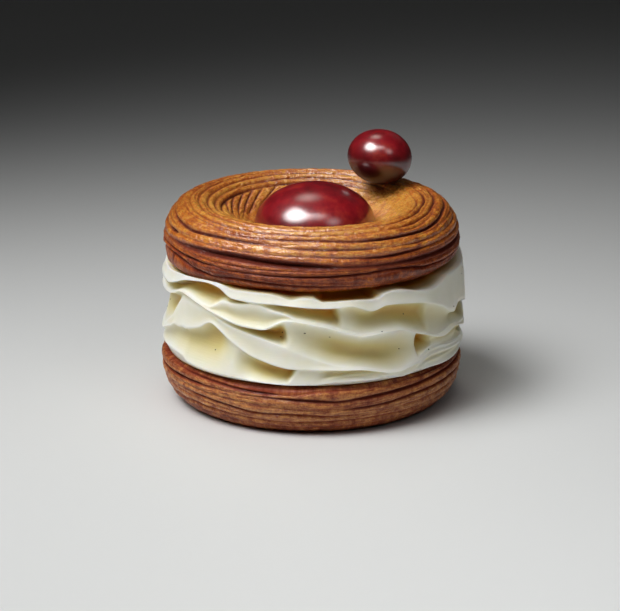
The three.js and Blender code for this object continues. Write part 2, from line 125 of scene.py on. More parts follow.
class RingCurve:
    """Smooth periodic curve through its knots, without overshoot."""

    def __init__(self, *knots: tuple[float, float]) -> None:
        """Fit the curve to its knots.

        Args:
            knots: Degrees round from the front, and the value there.
        """
        self.places = np.array([knot[0] for knot in knots], float)
        self.values = np.array([knot[1] for knot in knots], float)
        self.spans = (np.roll(self.places, -1) - self.places) % 360
        secants = (np.roll(self.values, -1) - self.values) / self.spans
        before = np.roll(secants, 1)
        same = before * secants > 0
        total = np.where(same, before + secants, 1)
        self.tangents = np.where(same, 2 * before * secants / total, 0)

    def __call__(self, turn: Number) -> Array:
        """Read the curve.

        Args:
            turn: Where it is read, in radians.

        Returns:
            The value at each turn.
        """
        ahead = (np.degrees(np.asarray(turn, float))[..., None] - self.places) % 360
        index = (ahead < self.spans).argmax(-1)
        span = self.spans[index]
        along = np.take_along_axis(ahead, index[..., None], -1)[..., 0] / span
        after = (index + 1) % len(self.places)
        square = along * along
        cube = square * along
        return ((2 * cube - 3 * square + 1) * self.values[index]
                + (cube - 2 * square + along) * span * self.tangents[index]
                + (3 * square - 2 * cube) * self.values[after]
                + (cube - square) * span * self.tangents[after])


def grain(points: Array, size: float, seed: int, waves: int = 28) -> Array:
    """Soft random field over points, about -1 to 1.

    Args:
        points: Places, with x, y, z in the last axis.
        size: Distance between bumps, in the points' unit.
        seed: Chooses one field out of many.
        waves: How many plane waves are added.

    Returns:
        One value for each place.
    """
    random = np.random.default_rng(seed)
    directions = random.normal(size=(waves, 3))
    directions /= np.linalg.norm(directions, axis=1)[:, None]
    rates = TURN / size * random.uniform(0.6, 1.4, waves)
    shifts = random.uniform(0, TURN, waves)
    total = np.zeros(points.shape[:-1])
    for direction, rate, shift in zip(directions, rates, shifts):
        total += np.cos(points @ (direction * rate) + shift)
    return total * math.sqrt(2 / waves) / GRAIN_PEAK


def around(turn: Array, radius: Number, height: Number) -> Array:
    """Points at a turn, radius and height, in millimetres."""
    turn, radius, height = np.broadcast_arrays(turn, radius, height)
    return np.stack([radius * np.sin(turn), -radius * np.cos(turn), height], -1)


def stand(name: str, data: bpy.types.ID) -> bpy.types.Object:
    """Put an object with its data in the scene.

    Args:
        name: Name of the object.
        data: Its mesh, light or camera.

    Returns:
        The object.
    """
    thing = bpy.data.objects.new(name, data)
    bpy.context.scene.collection.objects.link(thing)
    return thing


@dataclass
class Sheet:
    """A grid of points that goes round the axis, with what its material reads at each point."""

    points: Array
    readings: dict[str, Array] = field(default_factory=dict)
    closed_rows: bool = False
    poles: Optional[tuple[Vector, Vector]] = None

    def faces(self) -> tuple[list[tuple[int, ...]], list[tuple[float, float]]]:
        """Faces of the grid with a flat map of it.

        Returns:
            The faces, and a map place for each corner of each face.
        """
        rows, columns = self.points.shape[:2]
        last = rows if self.closed_rows else rows - 1
        row, column = np.meshgrid(np.arange(last), np.arange(columns), indexing="ij")
        row, column = row.ravel(), column.ravel()
        after, above = (column + 1) % columns, (row + 1) % rows
        quads = np.stack([row * columns + column, row * columns + after,
                          above * columns + after, above * columns + column], 1)
        height = last + 2
        left, right = column / columns, (column + 1) / columns
        low, high = (row + 1) / height, (row + 2) / height
        places = np.stack([np.stack([left, low], 1), np.stack([right, low], 1),
                           np.stack([right, high], 1), np.stack([left, high], 1)], 1)
        faces = [tuple(face) for face in quads.tolist()]
        corners = [tuple(place) for place in places.reshape(-1, 2).tolist()]
        if self.poles:
            first = rows * columns
            for place in range(columns):
                following = (place + 1) % columns
                faces.append((first, following, place))
                corners += [((place + 0.5) / columns, 0.0),
                            ((place + 1) / columns, 1 / height), (place / columns, 1 / height)]
                top = (rows - 1) * columns
                faces.append((first + 1, top + place, top + following))
                corners += [((place + 0.5) / columns, 1.0), (place / columns, 1 - 1 / height),
                            ((place + 1) / columns, 1 - 1 / height)]
        return faces, corners

    def build(self, name: str) -> bpy.types.Object:
        """Make the mesh object, in metres.

        Args:
            name: Name of the piece.

        Returns:
            The linked object with smooth faces, its readings and its flat map.
        """
        places = (self.points.reshape(-1, 3) * MM).tolist()
        if self.poles:
            places += [tuple(pole * MM) for pole in self.poles]
        faces, corners = self.faces()
        mesh = bpy.data.meshes.new(name)
        mesh.from_pydata(places, [], faces)
        flat = mesh.uv_layers.new(name="OFBake")
        flat.data.foreach_set("uv", np.array(corners, np.float32).ravel())
        for label, values in self.readings.items():
            self.write(mesh, label, values)
        mesh.shade_smooth()
        return stand(name, mesh)

    def write(self, mesh: bpy.types.Mesh, label: str, values: Array) -> None:
        """Store one reading on a mesh.

        Args:
            mesh: The mesh to write to.
            label: Name of the reading.
            values: One number or one vector for each grid point.
        """
        is_vector = values.ndim == 3
        flat = values.reshape(-1, 3) if is_vector else values.reshape(-1)
        if self.poles:
            flat = np.concatenate([flat, flat[:1], flat[-1:]])
        kind = "FLOAT_VECTOR" if is_vector else "FLOAT"
        layer = mesh.attributes.new(label, kind, "POINT")
        layer.data.foreach_set("vector" if is_vector else "value",
                               flat.astype(np.float32).ravel())


# --- Finishes -------------------------------------------------------------------------------


def linear(code: str) -> tuple[float, float, float, float]:
    """Turn a screen colour into linear light.

    Args:
        code: Six hex digits, such as C87F3A.

    Returns:
        Red, green, blue and a full alpha.
    """
    parts = [int(code[i:i + 2], 16) / 255 for i in (0, 2, 4)]
    light = [part / 12.92 if part <= 0.04045 else ((part + 0.055) / 1.055) ** 2.4
             for part in parts]
    return light[0], light[1], light[2], 1.0


class Nodes:
    """Short hand for wiring a material's nodes."""

    NOISE_MIDDLE: ClassVar[tuple[float, float]] = (0.3, 0.7)

    def __init__(self, name: str) -> None:
        """Start a material that holds one surface shader.

        Args:
            name: Name of the material.
        """
        self.material = bpy.data.materials.new(name)
        self.material.use_nodes = True
        self.tree = self.material.node_tree
        self.shader = self.tree.nodes["Principled BSDF"]

    def add(self, kind: str, **settings: object) -> bpy.types.Node:
        """Add a node and set its properties.

        Args:
            kind: The node's type.
            settings: Each property and its value.

        Returns:
            The node.
        """
        node = self.tree.nodes.new(kind)
        for label, value in settings.items():
            setattr(node, label, value)
        return node

    def feed(self, socket: bpy.types.NodeSocket, source: object) -> None:
        """Fill a socket.

        Args:
            socket: The socket to fill.
            source: A link, a number or a colour.
        """
        if isinstance(source, bpy.types.NodeSocket):
            self.tree.links.new(source, socket)
        else:
            socket.default_value = source

    def reading(self, label: str, vector: bool = False) -> bpy.types.NodeSocket:
        """Read a value that the mesh carries."""
        node = self.add("ShaderNodeAttribute", attribute_name=label)
        return node.outputs["Vector" if vector else "Fac"]

    def math(self, kind: str, first: object, second: object,
             clamp: bool = False) -> bpy.types.NodeSocket:
        """Combine two numbers.

        Args:
            kind: The operation, such as ADD.
            first: A link or a number.
            second: A link or a number.
            clamp: Whether the result stays between 0 and 1.

        Returns:
            The result.
        """
        node = self.add("ShaderNodeMath", operation=kind, use_clamp=clamp)
        self.feed(node.inputs[0], first)
        self.feed(node.inputs[1], second)
        return node.outputs[0]

    def stretch(self, vector: object, scale: tuple[float, float, float]) -> bpy.types.NodeSocket:
        """Scale a vector.

        Args:
            vector: The vector to scale.
            scale: The scale along each axis.

        Returns:
            The scaled vector.
        """
        node = self.add("ShaderNodeMapping")
        self.feed(node.inputs["Vector"], vector)
        node.inputs["Scale"].default_value = scale
        return node.outputs[0]

    def noise(self, vector: object, scale: float, detail: float = 3.0,
              rough: float = 0.55) -> bpy.types.NodeSocket:
        """Cloudy noise.

        Args:
            vector: Where it is read.
            scale: How fine it is.
            detail: How many finer layers it has.
            rough: How strong the finer layers are.

        Returns:
            A value around 0.5.
        """
        node = self.add("ShaderNodeTexNoise")
        self.feed(node.inputs["Vector"], vector)
        node.inputs["Scale"].default_value = scale
        node.inputs["Detail"].default_value = detail
        node.inputs["Roughness"].default_value = rough
        return node.outputs[0]

    def ramp(self, value: object, stops: Sequence[tuple[float, str]]) -> bpy.types.NodeSocket:
        """Colour scale along a value.

        Args:
            value: Where the scale is read.
            stops: Place and screen colour of each stop.

        Returns:
            The colour.
        """
        node = self.add("ShaderNodeValToRGB")
        self.feed(node.inputs[0], value)
        elements = node.color_ramp.elements
        while len(elements) < len(stops):
            elements.new(1.0)
        for element, (place, code) in zip(elements, stops):
            element.position = place
            element.color = linear(code)
        return node.outputs[0]

    def span(self, value: object, low: float, high: float, start: float,
             end: float) -> bpy.types.NodeSocket:
        """Map a range of a value onto another range.

        Args:
            value: The value that is read.
            low: Value that gives the start.
            high: Value that gives the end.
            start: Result at the low value.
            end: Result at the high value.

        Returns:
            The mapped value.
        """
        node = self.add("ShaderNodeMapRange")
        for label, source in zip(("Value", "From Min", "From Max", "To Min", "To Max"),
                                 (value, low, high, start, end)):
            self.feed(node.inputs[label], source)
        return node.outputs[0]

    def spread(self, noise: object, start: float, end: float) -> bpy.types.NodeSocket:
        """Spread the middle part of a noise over a range."""
        return self.span(noise, *self.NOISE_MIDDLE, start, end)

    def mix(self, share: object, first: object, second: object,
            blend: str = "MIX") -> bpy.types.NodeSocket:
        """Mix two colours.

        Args:
            share: How much of the second.
            first: A link or a colour.
            second: A link or a colour.
            blend: How they are combined.

        Returns:
            The mixed colour.
        """
        node = self.add("ShaderNodeMix", data_type="RGBA", blend_type=blend)
        self.feed(node.inputs[0], share)
        self.feed(node.inputs[6], first)
        self.feed(node.inputs[7], second)
        return node.outputs[2]

    def bump(self, height: object, depth: float, strength: float,
             under: Optional[bpy.types.NodeSocket] = None) -> bpy.types.NodeSocket:
        """Fine relief.

        Args:
            height: The relief, 0 to 1.
            depth: Its depth in millimetres.
            strength: How far the light follows it.
            under: A coarser relief that this one lies on.

        Returns:
            The bent normal.
        """
        node = self.add("ShaderNodeBump")
        self.feed(node.inputs["Height"], height)
        node.inputs["Distance"].default_value = depth * MM
        node.inputs["Strength"].default_value = strength
        if under is not None:
            self.feed(node.inputs["Normal"], under)
        return node.outputs[0]

    def place(self) -> bpy.types.NodeSocket:
        """Position on the piece, in metres."""
        return self.add("ShaderNodeTexCoord").outputs["Object"]

    def set(self, **values: object) -> None:
        """Set the shader's own sockets, with _ for a space."""
        for label, value in values.items():
            self.feed(self.shader.inputs[label.replace("_", " ")], value)


@dataclass(frozen=True)
class ChouxFinish:
    """Egg-washed baked choux: golden strands, with painted shade that darkens the grooves to
    red-brown.
    """

    name: str = "baked_choux"
    pale: str = "ECA84A"
    golden: str = "D2782A"
    brown: str = "A04E24"
    dark: str = "6A2A14"
    # edge and groove are painted shade: the crust is drawn darker toward them the deeper a groove
    # is.
    edge: str = "8A3216"
    groove: str = "5A1C0E"
    shift: float = 0.0
    gloss: float = 0.3
    wash: float = 0.8

    def make(self) -> bpy.types.Material:
        """Wire the crust's colour, gloss and fine relief.

        Returns:
            The material.
        """
        nodes = Nodes(self.name)
        strand = nodes.reading("strand", vector=True)
        cavity = nodes.reading("cavity")
        streaks = nodes.noise(nodes.stretch(strand, (0.3, 0.3, 2.6)), 1.0, 4.0, 0.62)
        hairs = nodes.noise(nodes.stretch(strand, (0.9, 0.9, 7.0)), 1.0, 3.0, 0.6)
        mottle = nodes.noise(strand, 0.5, 4.0, 0.62)
        blisters = nodes.noise(strand, 2.4, 3.0, 0.65)
        crinkles = nodes.noise(nodes.stretch(strand, (0.7, 0.7, 1.5)), 1.0, 2.0, 0.55)
        # The tone holds the crust's browning together with painted light and shade.
        tone = nodes.reading("bake_with_painted_light")
        for noise, sway in ((streaks, 0.24), (mottle, 0.3), (hairs, 0.1), (blisters, 0.12)):
            tone = nodes.math("ADD", tone, nodes.spread(noise, -sway, sway))
        tone = nodes.math("ADD", tone, self.shift, clamp=True)
        crust = nodes.ramp(tone, ((0.0, self.pale), (0.34, self.golden), (0.7, self.brown),
                                  (1.0, self.dark)))
        # Painted shade: the crust turns red-brown, then nearly black, the deeper a point lies in a
        # groove.
        warm = nodes.mix(nodes.span(cavity, 0.1, 0.6, 0.0, 0.75), crust, linear(self.edge))
        colour = nodes.mix(nodes.span(cavity, 0.45, 1.0, 0.0, 0.9), warm, linear(self.groove))
        relief = None
        for noise, depth, strength in ((streaks, 0.16, 0.6), (hairs, 0.05, 0.5),
                                       (crinkles, 0.6, 0.8), (blisters, 0.16, 0.8)):
            relief = nodes.bump(noise, depth, strength, relief)
        rough = nodes.math("ADD", nodes.spread(mottle, self.gloss - 0.1, self.gloss + 0.12),
                           nodes.math("MULTIPLY", cavity, 0.35), clamp=True)
        wash = nodes.span(nodes.reading("bake_with_painted_light"), 0.38, 0.6, self.wash, 0.12 * self.wash)
        nodes.set(Base_Color=colour, Roughness=rough, Normal=relief, Coat_Weight=wash,
                  Coat_Roughness=0.12, Coat_IOR=2.0, Specular_IOR_Level=0.25)
        nodes.feed(nodes.shader.inputs["Coat Normal"], relief)
        return nodes.material


@dataclass(frozen=True)
class CreamFinish:
    """Whipped vanilla cream: soft, a little see-through, with painted shade that makes it yellower
    where it is hollow.
    """

    name: str = "vanilla_cream"
    crest: str = "F2F0E4"
    # side, hollow and deep are painted shade: the cream is drawn darker and yellower the deeper a
    # place lies.
    side: str = "E6E2C8"
    hollow: str = "DFD090"
    deep: str = "E6A934"

    def make(self) -> bpy.types.Material:
        """Wire the cream's colour and its faint drag lines.

        Returns:
            The material.
        """
        nodes = Nodes(self.name)
        place = nodes.place()
        clouds = nodes.noise(place, 90.0, 3.0)
        drag = nodes.noise(nodes.stretch(nodes.reading("strand", vector=True), (0.12, 0.12, 2.4)),
                           1.0, 3.0, 0.6)
        # Painted shade: the colour darkens and yellows from crest to deep as the cavity reading
        # grows.
        depth = nodes.math("ADD", nodes.reading("cavity"), nodes.spread(clouds, -0.04, 0.04),
                           clamp=True)
        colour = nodes.ramp(depth, ((0.0, self.crest), (0.14, self.side), (0.46, self.hollow),
                                    (1.0, self.deep)))
        relief = nodes.bump(drag, 0.12, 0.35)
        relief = nodes.bump(nodes.noise(place, 1500.0, 2.0), 0.03, 0.35, relief)
        nodes.set(Base_Color=colour, Roughness=nodes.spread(clouds, 0.42, 0.52),
                  Normal=relief, Subsurface_Weight=0.8, Subsurface_Scale=0.0036,
                  Subsurface_Radius=(1.0, 0.88, 0.66), Specular_IOR_Level=0.4)
        return nodes.material


@dataclass(frozen=True)
class GlazeFinish:
    """Deep cherry-red glaze over fruit, with cloudy lighter veins and painted shade on its lower
    half.
    """

    name: str = "cherry_glaze"
    deep: str = "6A0812"
    red: str = "9A1420"
    bright: str = "BC3A2A"
    shade: str = "240204"

    def make(self) -> bpy.types.Material:
        """Wire the glaze's clouded colour under its clear coat.

        Returns:
            The material.
        """
        nodes = Nodes(self.name)
        place = nodes.place()
        clouds = nodes.noise(place, 120.0, 4.0, 0.6)
        veins = nodes.noise(nodes.stretch(place, (1.0, 1.0, 0.45)), 420.0, 4.0, 0.65)
        tone = nodes.math("ADD", nodes.spread(clouds, 0.0, 0.8),
                          nodes.span(veins, 0.35, 0.7, -0.12, 0.2), clamp=True)
        colour = nodes.ramp(tone, ((0.0, self.deep), (0.55, self.red), (1.0, self.bright)))
        # Painted shade: the lower half of the ball darkens toward the shade colour.
        colour = nodes.mix(nodes.span(nodes.reading("foot"), 0.2, 0.7, 0.0, 0.92), colour,
                           linear(self.shade))
        relief = nodes.bump(nodes.noise(place, 260.0, 2.0), 0.1, 0.25)
        coat = nodes.span(nodes.reading("foot"), 0.35, 0.8, 1.0, 0.15)
        nodes.set(Base_Color=colour, Roughness=nodes.spread(veins, 0.36, 0.46),
                  Normal=relief, Coat_Weight=coat, Coat_Roughness=0.2, Coat_IOR=2.1,
                  Specular_IOR_Level=0.2,
                  Subsurface_Weight=0.25, Subsurface_Scale=0.003,
                  Subsurface_Radius=(1.0, 0.15, 0.1))
        return nodes.material


@dataclass(frozen=True)
class SeedFinish:
    """Vanilla seed: nearly black brown."""

    name: str = "vanilla_seed"
    colour: str = "2A1A10"
    tip: str = "4A3320"

    def make(self) -> bpy.types.Material:
        """Wire the seed's slightly uneven colour.

        Returns:
            The material.
        """
        nodes = Nodes(self.name)
        tint = nodes.noise(nodes.place(), 900.0)
        nodes.set(Base_Color=nodes.mix(tint, linear(self.colour), linear(self.tip)),
                  Roughness=0.5)
        return nodes.material


@dataclass(frozen=True)
class FloorFinish:
    """Plain pale studio floor."""

    name: str = "pale_floor"
    colour: tuple[float, float, float, float] = (0.66, 0.67, 0.665, 1.0)

    def make(self) -> bpy.types.Material:
        """Wire the floor.

        Returns:
            The material.
        """
        nodes = Nodes(self.name)
        nodes.set(Base_Color=self.colour, Roughness=0.62)
        return nodes.material


class Slot(Enum):
    """Material slots of the part."""

    CHOUX_BASE = "choux_base"
    CREAM = "cream"
    CHOUX_TOP = "choux_top"
    RED_GLAZE = "red_glaze"


# --- Choux rings ----------------------------------------------------------------------------


class Skin:
    """Closed section of a ring, read by the distance along it."""

    STEPS: ClassVar[int] = 80

    def __init__(self, section: Knots) -> None:
        """Lay a smooth closed curve through the section's corners.

        Args:
            section: Radius and height of each corner.
        """
        knots = np.array(section, float)
        share = np.arange(self.STEPS) / self.STEPS
        pieces = []
        for i in range(len(knots)):
            before, start, end, after = (knots[(i + k - 1) % len(knots)] for k in range(4))
            first = math.sqrt(np.linalg.norm(start - before))
            middle = math.sqrt(np.linalg.norm(end - start))
            last = math.sqrt(np.linalg.norm(after - end))
            leave = middle * ((start - before) / first - (end - before) / (first + middle)
                              + (end - start) / middle)
            arrive = middle * ((end - start) / middle - (after - start) / (middle + last)
                               + (after - end) / last)
            s = share[:, None]
            pieces.append(start + leave * s + (3 * (end - start) - 2 * leave - arrive) * s ** 2
                          + (2 * (start - end) + leave + arrive) * s ** 3)
        line = np.concatenate(pieces + [knots[:1]])
        steps = np.linalg.norm(np.diff(line, axis=0), axis=1)
        self.places = np.concatenate([[0], np.cumsum(steps)])
        self.length = self.places[-1]
        self.line = line
        slope = np.gradient(line, self.places, axis=0)
        slope[0] = slope[-1] = (slope[0] + slope[-1]) / 2
        self.slope = slope / np.linalg.norm(slope, axis=1)[:, None]

    def at(self, distance: Array, offset: Array) -> tuple[Array, Array]:
        """Find a point on the skin or just off it.

        Args:
            distance: Distance along the skin.
            offset: How far out of the skin the point lies.

        Returns:
            Radius and height.
        """
        place = distance % self.length
        radius, height, along_r, along_h = (
            np.interp(place, self.places, values)
            for values in (self.line[:, 0], self.line[:, 1], self.slope[:, 0], self.slope[:, 1]))
        return radius + offset * along_h, height - offset * along_r


@dataclass(frozen=True)
class Groove:
    """A cut between two strands: where it lies along the skin and how deep it is."""

    place: RingCurve
    depth: RingCurve
    width: float = 0.42


@dataclass(frozen=True)
class Dive:
    """A cut between two strands that dive down the inner slope.

    It starts at a turn in degrees and reaches its foot after the strand's sweep.
    """

    start: float
    foot: float
    sweep: float = 48.0
    top: float = 49.4
    depth: float = 0.65
    width: float = 0.34

    BEND: ClassVar[float] = 1.8
    EDGE: ClassVar[float] = 1.7

    def cut(self, turn: Array, distance: Array) -> Array:
        """How deep the cut is over the skin.

        Args:
            turn: Turn of each column.
            distance: Distance of each row along the skin.

        Returns:
            The depth at each point, in millimetres.
        """
        along = offset_from(turn, self.start) / self.sweep
        line = self.foot - (self.foot - self.top) * np.clip(1 - along, 0, 1) ** self.BEND
        ends = ease(-0.02, 0.06, along) * ease(1.0, 0.45, along)
        return self.depth * ends * np.exp(-np.abs((distance - line) / self.width) ** self.EDGE)


@dataclass
class ChouxRing:
    """A ring of choux piped in fine strands. Subclasses give its section and grooves."""

    columns: int = 500
    crown: float = 0.24
    fine_cuts: int = 200
    fine_depth: float = 0.42
    fine_from: float = 20.0
    fine_to: float = 60.0
    fine_width: float = 0.26
    long_bumps: float = 0.08
    round_bumps: float = 0.05
    seed: int = 5
    finish: ChouxFinish = field(default_factory=ChouxFinish)

    name: ClassVar[str]
    node: ClassVar[str]
    slot: ClassVar[Slot]
    GROOVES: ClassVar[tuple[Groove, ...]]
    DIVES: ClassVar[tuple[Dive, ...]] = ()
    ENDS: ClassVar[tuple[float, float]]
    STRAND: ClassVar[float] = 2.2
    EDGE: ClassVar[float] = 1.5
    CAVITY_GAIN: ClassVar[float] = 1.6
    CAVITY_POWER: ClassVar[float] = 1.2
    CALM: ClassVar[float] = 0.85
    READING_RADIUS: ClassVar[float] = 38.0
    TONE_SPREAD: ClassVar[float] = 0.16

    def section(self) -> Knots:
        """Corners of the section, as radius and height."""
        raise NotImplementedError

    def rows(self) -> Array:
        """Distances along the skin of the mesh's rows."""
        raise NotImplementedError

    def place(self, turn: Array, radius: Array, height: Array) -> Array:
        """Put a section point in space."""
        raise NotImplementedError

    def baking_with_painted_light(self, turn: Array, distance: Array, height: Array) -> Array:
        """How brown the crust is drawn, 0 to 1, with painted light and shade worked in."""
        raise NotImplementedError

    def smooth(self, turn: Array, distance: Array) -> Array:
        """Where the strands have run together, 0 to 1."""
        return 0 * turn + 0 * distance

    def swell(self, turn: Array, distance: Array) -> Array:
        """How far the skin swells out of its section, in millimetres."""
        return 0 * turn + 0 * distance

    def strand_number(self, turn: Array, distance: Array) -> Array:
        """Number of the strand at each point, with its share across as the fraction.

        Args:
            turn: Turn of each column, as one row.
            distance: Distance of each row, as one column.

        Returns:
            One number for each point.
        """
        lines = [groove.place(turn[0]) for groove in self.GROOVES]
        low, high = (np.full(turn.shape[1], end) for end in self.ENDS)
        lines = np.stack([low, *lines, high])
        numbers = np.arange(len(lines), dtype=float)
        return np.stack([np.interp(distance[:, 0], line, numbers) for line in lines.T], 1)

    def fine_cut(self, random: np.random.Generator, turn: Array, distance: Array,
                 number: Array) -> Array:
        """A short fine cut that follows the strands, placed at random.

        Args:
            random: Where its place, length and depth are drawn from.
            turn: Turn of each column, as one row.
            distance: Distance of each row, as one column.
            number: Strand number of each point.

        Returns:
            How deep the cut is at each point, in millimetres.
        """
        middle, reach = random.uniform(-180, 180), random.uniform(12, 48)
        level = random.uniform(self.fine_from, self.fine_to)
        depth, lean = random.uniform(0.4, 1.0), random.uniform(-0.012, 0.012)
        near = offset_from(turn, middle)
        column = int(round((middle % 360) / 360 * turn.shape[1])) % turn.shape[1]
        row = int(np.argmin(np.abs(distance[:, 0] - level)))
        line = number[row, column] + lean * near + 0.05 * wobble(turn, middle, 5, 11)
        away = np.abs(number - line) * self.STRAND / self.fine_width
        ends = ease(reach, reach * 0.55, np.abs(near))
        return self.fine_depth * depth * ends * np.exp(-away ** self.EDGE)

    def relief(self, turn: Array, distance: Array, number: Array) -> tuple[Array, Array]:
        """Strand relief over the skin.

        Args:
            turn: Turn of each column, as one row.
            distance: Distance of each row, as one column.
            number: Strand number of each point.

        Returns:
            Offset out of the skin in millimetres, and how deep in a groove the point lies.
        """
        across = number % 1
        crown = self.crown * (1 - (2 * across - 1) ** 2)
        cut = np.zeros(number.shape)
        for groove in self.GROOVES:
            away = np.abs(distance - groove.place(turn)) / groove.width
            cut = np.maximum(cut, groove.depth(turn) * np.exp(-away ** self.EDGE))
        for dive in self.DIVES:
            cut = np.maximum(cut, dive.cut(turn, distance))
        random = np.random.default_rng(self.seed)
        for _ in range(self.fine_cuts):
            cut = np.maximum(cut, self.fine_cut(random, turn, distance, number))
        calm = 1 - self.CALM * self.smooth(turn, distance)
        cavity = np.clip(cut * self.CAVITY_GAIN, 0, 1) ** self.CAVITY_POWER * calm
        return (crown - cut) * calm, cavity

    def sheet(self) -> Sheet:
        """The whole ring as a grid.

        Returns:
            The grid, with what the crust's finish reads.
        """
        skin = Skin(self.section())
        turn = TURN * np.arange(self.columns)[None, :] / self.columns
        distance = self.rows()[:, None]
        number = self.strand_number(turn, distance)
        offset, cavity = self.relief(turn, distance, number)
        reach = self.READING_RADIUS
        strand = np.stack(np.broadcast_arrays(reach * np.sin(turn), reach * np.cos(turn),
                                              self.STRAND * number), -1)
        offset = offset + self.long_bumps * grain(strand * (0.35, 0.35, 1.0), 1.7, 5)
        offset = offset + self.round_bumps * grain(strand, 1.0, 8) + self.swell(turn, distance)
        radius, height = skin.at(distance + 0 * turn, offset)
        points = self.place(turn, radius, height)
        tones = np.array([draw(7 * i + 3) - 0.5 for i in range(len(self.GROOVES) + 2)])
        # The crust's browning, with painted light and shade in it, and a random tone for each
        # strand.
        bake_with_painted_light = (self.baking_with_painted_light(turn, distance, height)
                + self.TONE_SPREAD * tones[number.astype(int)])
        return Sheet(points, {"strand": strand, "cavity": cavity, "bake_with_painted_light": bake_with_painted_light}, closed_rows=True)

    def build(self) -> bpy.types.Object:
        """Make and dress the ring.

        Returns:
            The ring.
        """
        piece = self.sheet().build(self.name)
        piece.data.materials.append(self.finish.make())
        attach(piece, "root")
        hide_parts(self.node)
        return piece


@dataclass
class ChouxBase(ChouxRing):
    """Lower ring: bowl-shaped outside, flat beneath, with the hole open below."""

    high: float = 14.8
    radius: float = 43.1
    hole: float = 14.5
    fine_cuts: int = 46
    fine_from: float = 21.0
    fine_to: float = 39.0
    seed: int = 9
    finish: ChouxFinish = field(default_factory=lambda: ChouxFinish(
        name="baked_choux_base", pale="D89A54", golden="BC7A40", brown="8E4826", shift=0.02,
        gloss=0.42, wash=0.3))

    name: ClassVar[str] = "choux_base_crust"
    node: ClassVar[str] = "choux_base"
    slot: ClassVar[Slot] = Slot.CHOUX_BASE
    ENDS: ClassVar[tuple[float, float]] = (17.0, 66.0)
    GROOVES: ClassVar[tuple[Groove, ...]] = (
        Groove(RingCurve((-60, 24.9), (0, 24.4), (60, 25.0), (120, 24.2), (180, 25.0), (240, 24.4)),
               RingCurve((-60, 0.2), (-20, 0.5), (30, 0.3), (90, 0.6), (180, 0.3), (240, 0.5))),
        Groove(RingCurve((-50, 27.6), (-10, 26.8), (30, 27.4), (80, 28.0), (140, 27.0), (200, 27.6),
                         (250, 27.0)),
               RingCurve((-50, 0.5), (-15, 0.3), (10, 0.5), (60, 0.2), (120, 0.5), (200, 0.3))),
        Groove(RingCurve((-65, 31.3), (-40, 30.6), (-20, 29.2), (-8, 29.6), (10, 28.9), (40, 29.6),
                         (80, 30.6), (130, 29.4), (190, 30.4), (250, 30.0)),
               RingCurve((-65, 0.2), (-35, 0.8), (-18, 0.6), (0, 0.6), (25, 0.2), (60, 0.5),
                         (130, 0.6), (200, 0.3), (250, 0.6))),
        Groove(RingCurve((-80, 33.4), (-50, 32.8), (-20, 32.0), (5, 30.8), (20, 31.1), (30, 31.5),
                         (40, 32.3), (60, 33.0), (90, 33.4), (150, 32.2), (210, 33.0)),
               RingCurve((-80, 0.3), (-30, 0.15), (8, 0.2), (20, 0.8), (45, 0.9), (65, 0.9),
                         (100, 0.5), (160, 0.7), (220, 0.5))),
        Groove(RingCurve((-70, 34.4), (-50, 34.6), (-30, 34.6), (-10, 34.4), (0, 34.0), (10, 33.5),
                         (20, 34.1), (40, 35.0), (60, 36.0), (85, 36.4), (130, 35.2), (180, 34.6),
                         (230, 35.4), (265, 34.6)),
               RingCurve((-75, 0.9), (-60, 1.0), (-45, 0.6), (-32, 0.1), (-16, 0.5), (0, 1.0),
                         (12, 0.7), (30, 1.1), (60, 1.0), (110, 0.6), (180, 0.9), (240, 0.7)),
               0.5),
        Groove(RingCurve((-70, 37.6), (-50, 37.2), (-40, 36.8), (-30, 36.1), (-20, 35.7),
                         (-8, 35.6), (5, 37.0), (20, 37.0), (50, 37.8), (90, 38.0), (150, 37.2),
                         (210, 37.8)),
               RingCurve((-70, 0.3), (-45, 0.9), (-20, 1.0), (-8, 0.3), (10, 0.4), (30, 0.3),
                         (55, 0.7), (100, 0.4), (180, 0.5), (240, 0.4)), 0.5),
    )

    def section(self) -> Knots:
        """Corners of the section, as radius and height."""
        return [(self.hole + 1.5, 0.6), (self.hole + 4, 0), (24, 0), (33, 0), (37, 0.6), (40, 2.8),
                (42, 6.2), (self.radius, 10.6), (self.radius - 0.1, self.high - 1.2),
                (self.radius - 1.3, self.high - 0.1), (38, self.high), (28, self.high),
                (self.hole + 2, self.high - 0.4), (self.hole, self.high - 3), (self.hole, 4)]

    def rows(self) -> Array:
        """Distances along the skin of the mesh's rows."""
        return np.concatenate([np.linspace(0.5, 16, 10), np.linspace(17, 20.5, 6),
                               np.linspace(21, 39.5, 92), np.linspace(41, 66, 14)])

    def place(self, turn: Array, radius: Array, height: Array) -> Array:
        """Put a section point in space, on or above the plate."""
        return around(turn, radius + 0.15 * wobble(turn, 9, 1, 5), np.maximum(height, 0))

    def baking_with_painted_light(self, turn: Array, distance: Array, height: Array) -> Array:
        """How brown the crust is drawn: darker near the bottom, and darker under the cream as
        painted shade.
        """
        # The rise from 12 to 14.8 mm high, under the cream, is painted shade.
        return 0.48 + 0.3 * ease(5, 0.5, height) + 0.25 * ease(12.0, 14.8, height) + 0 * turn


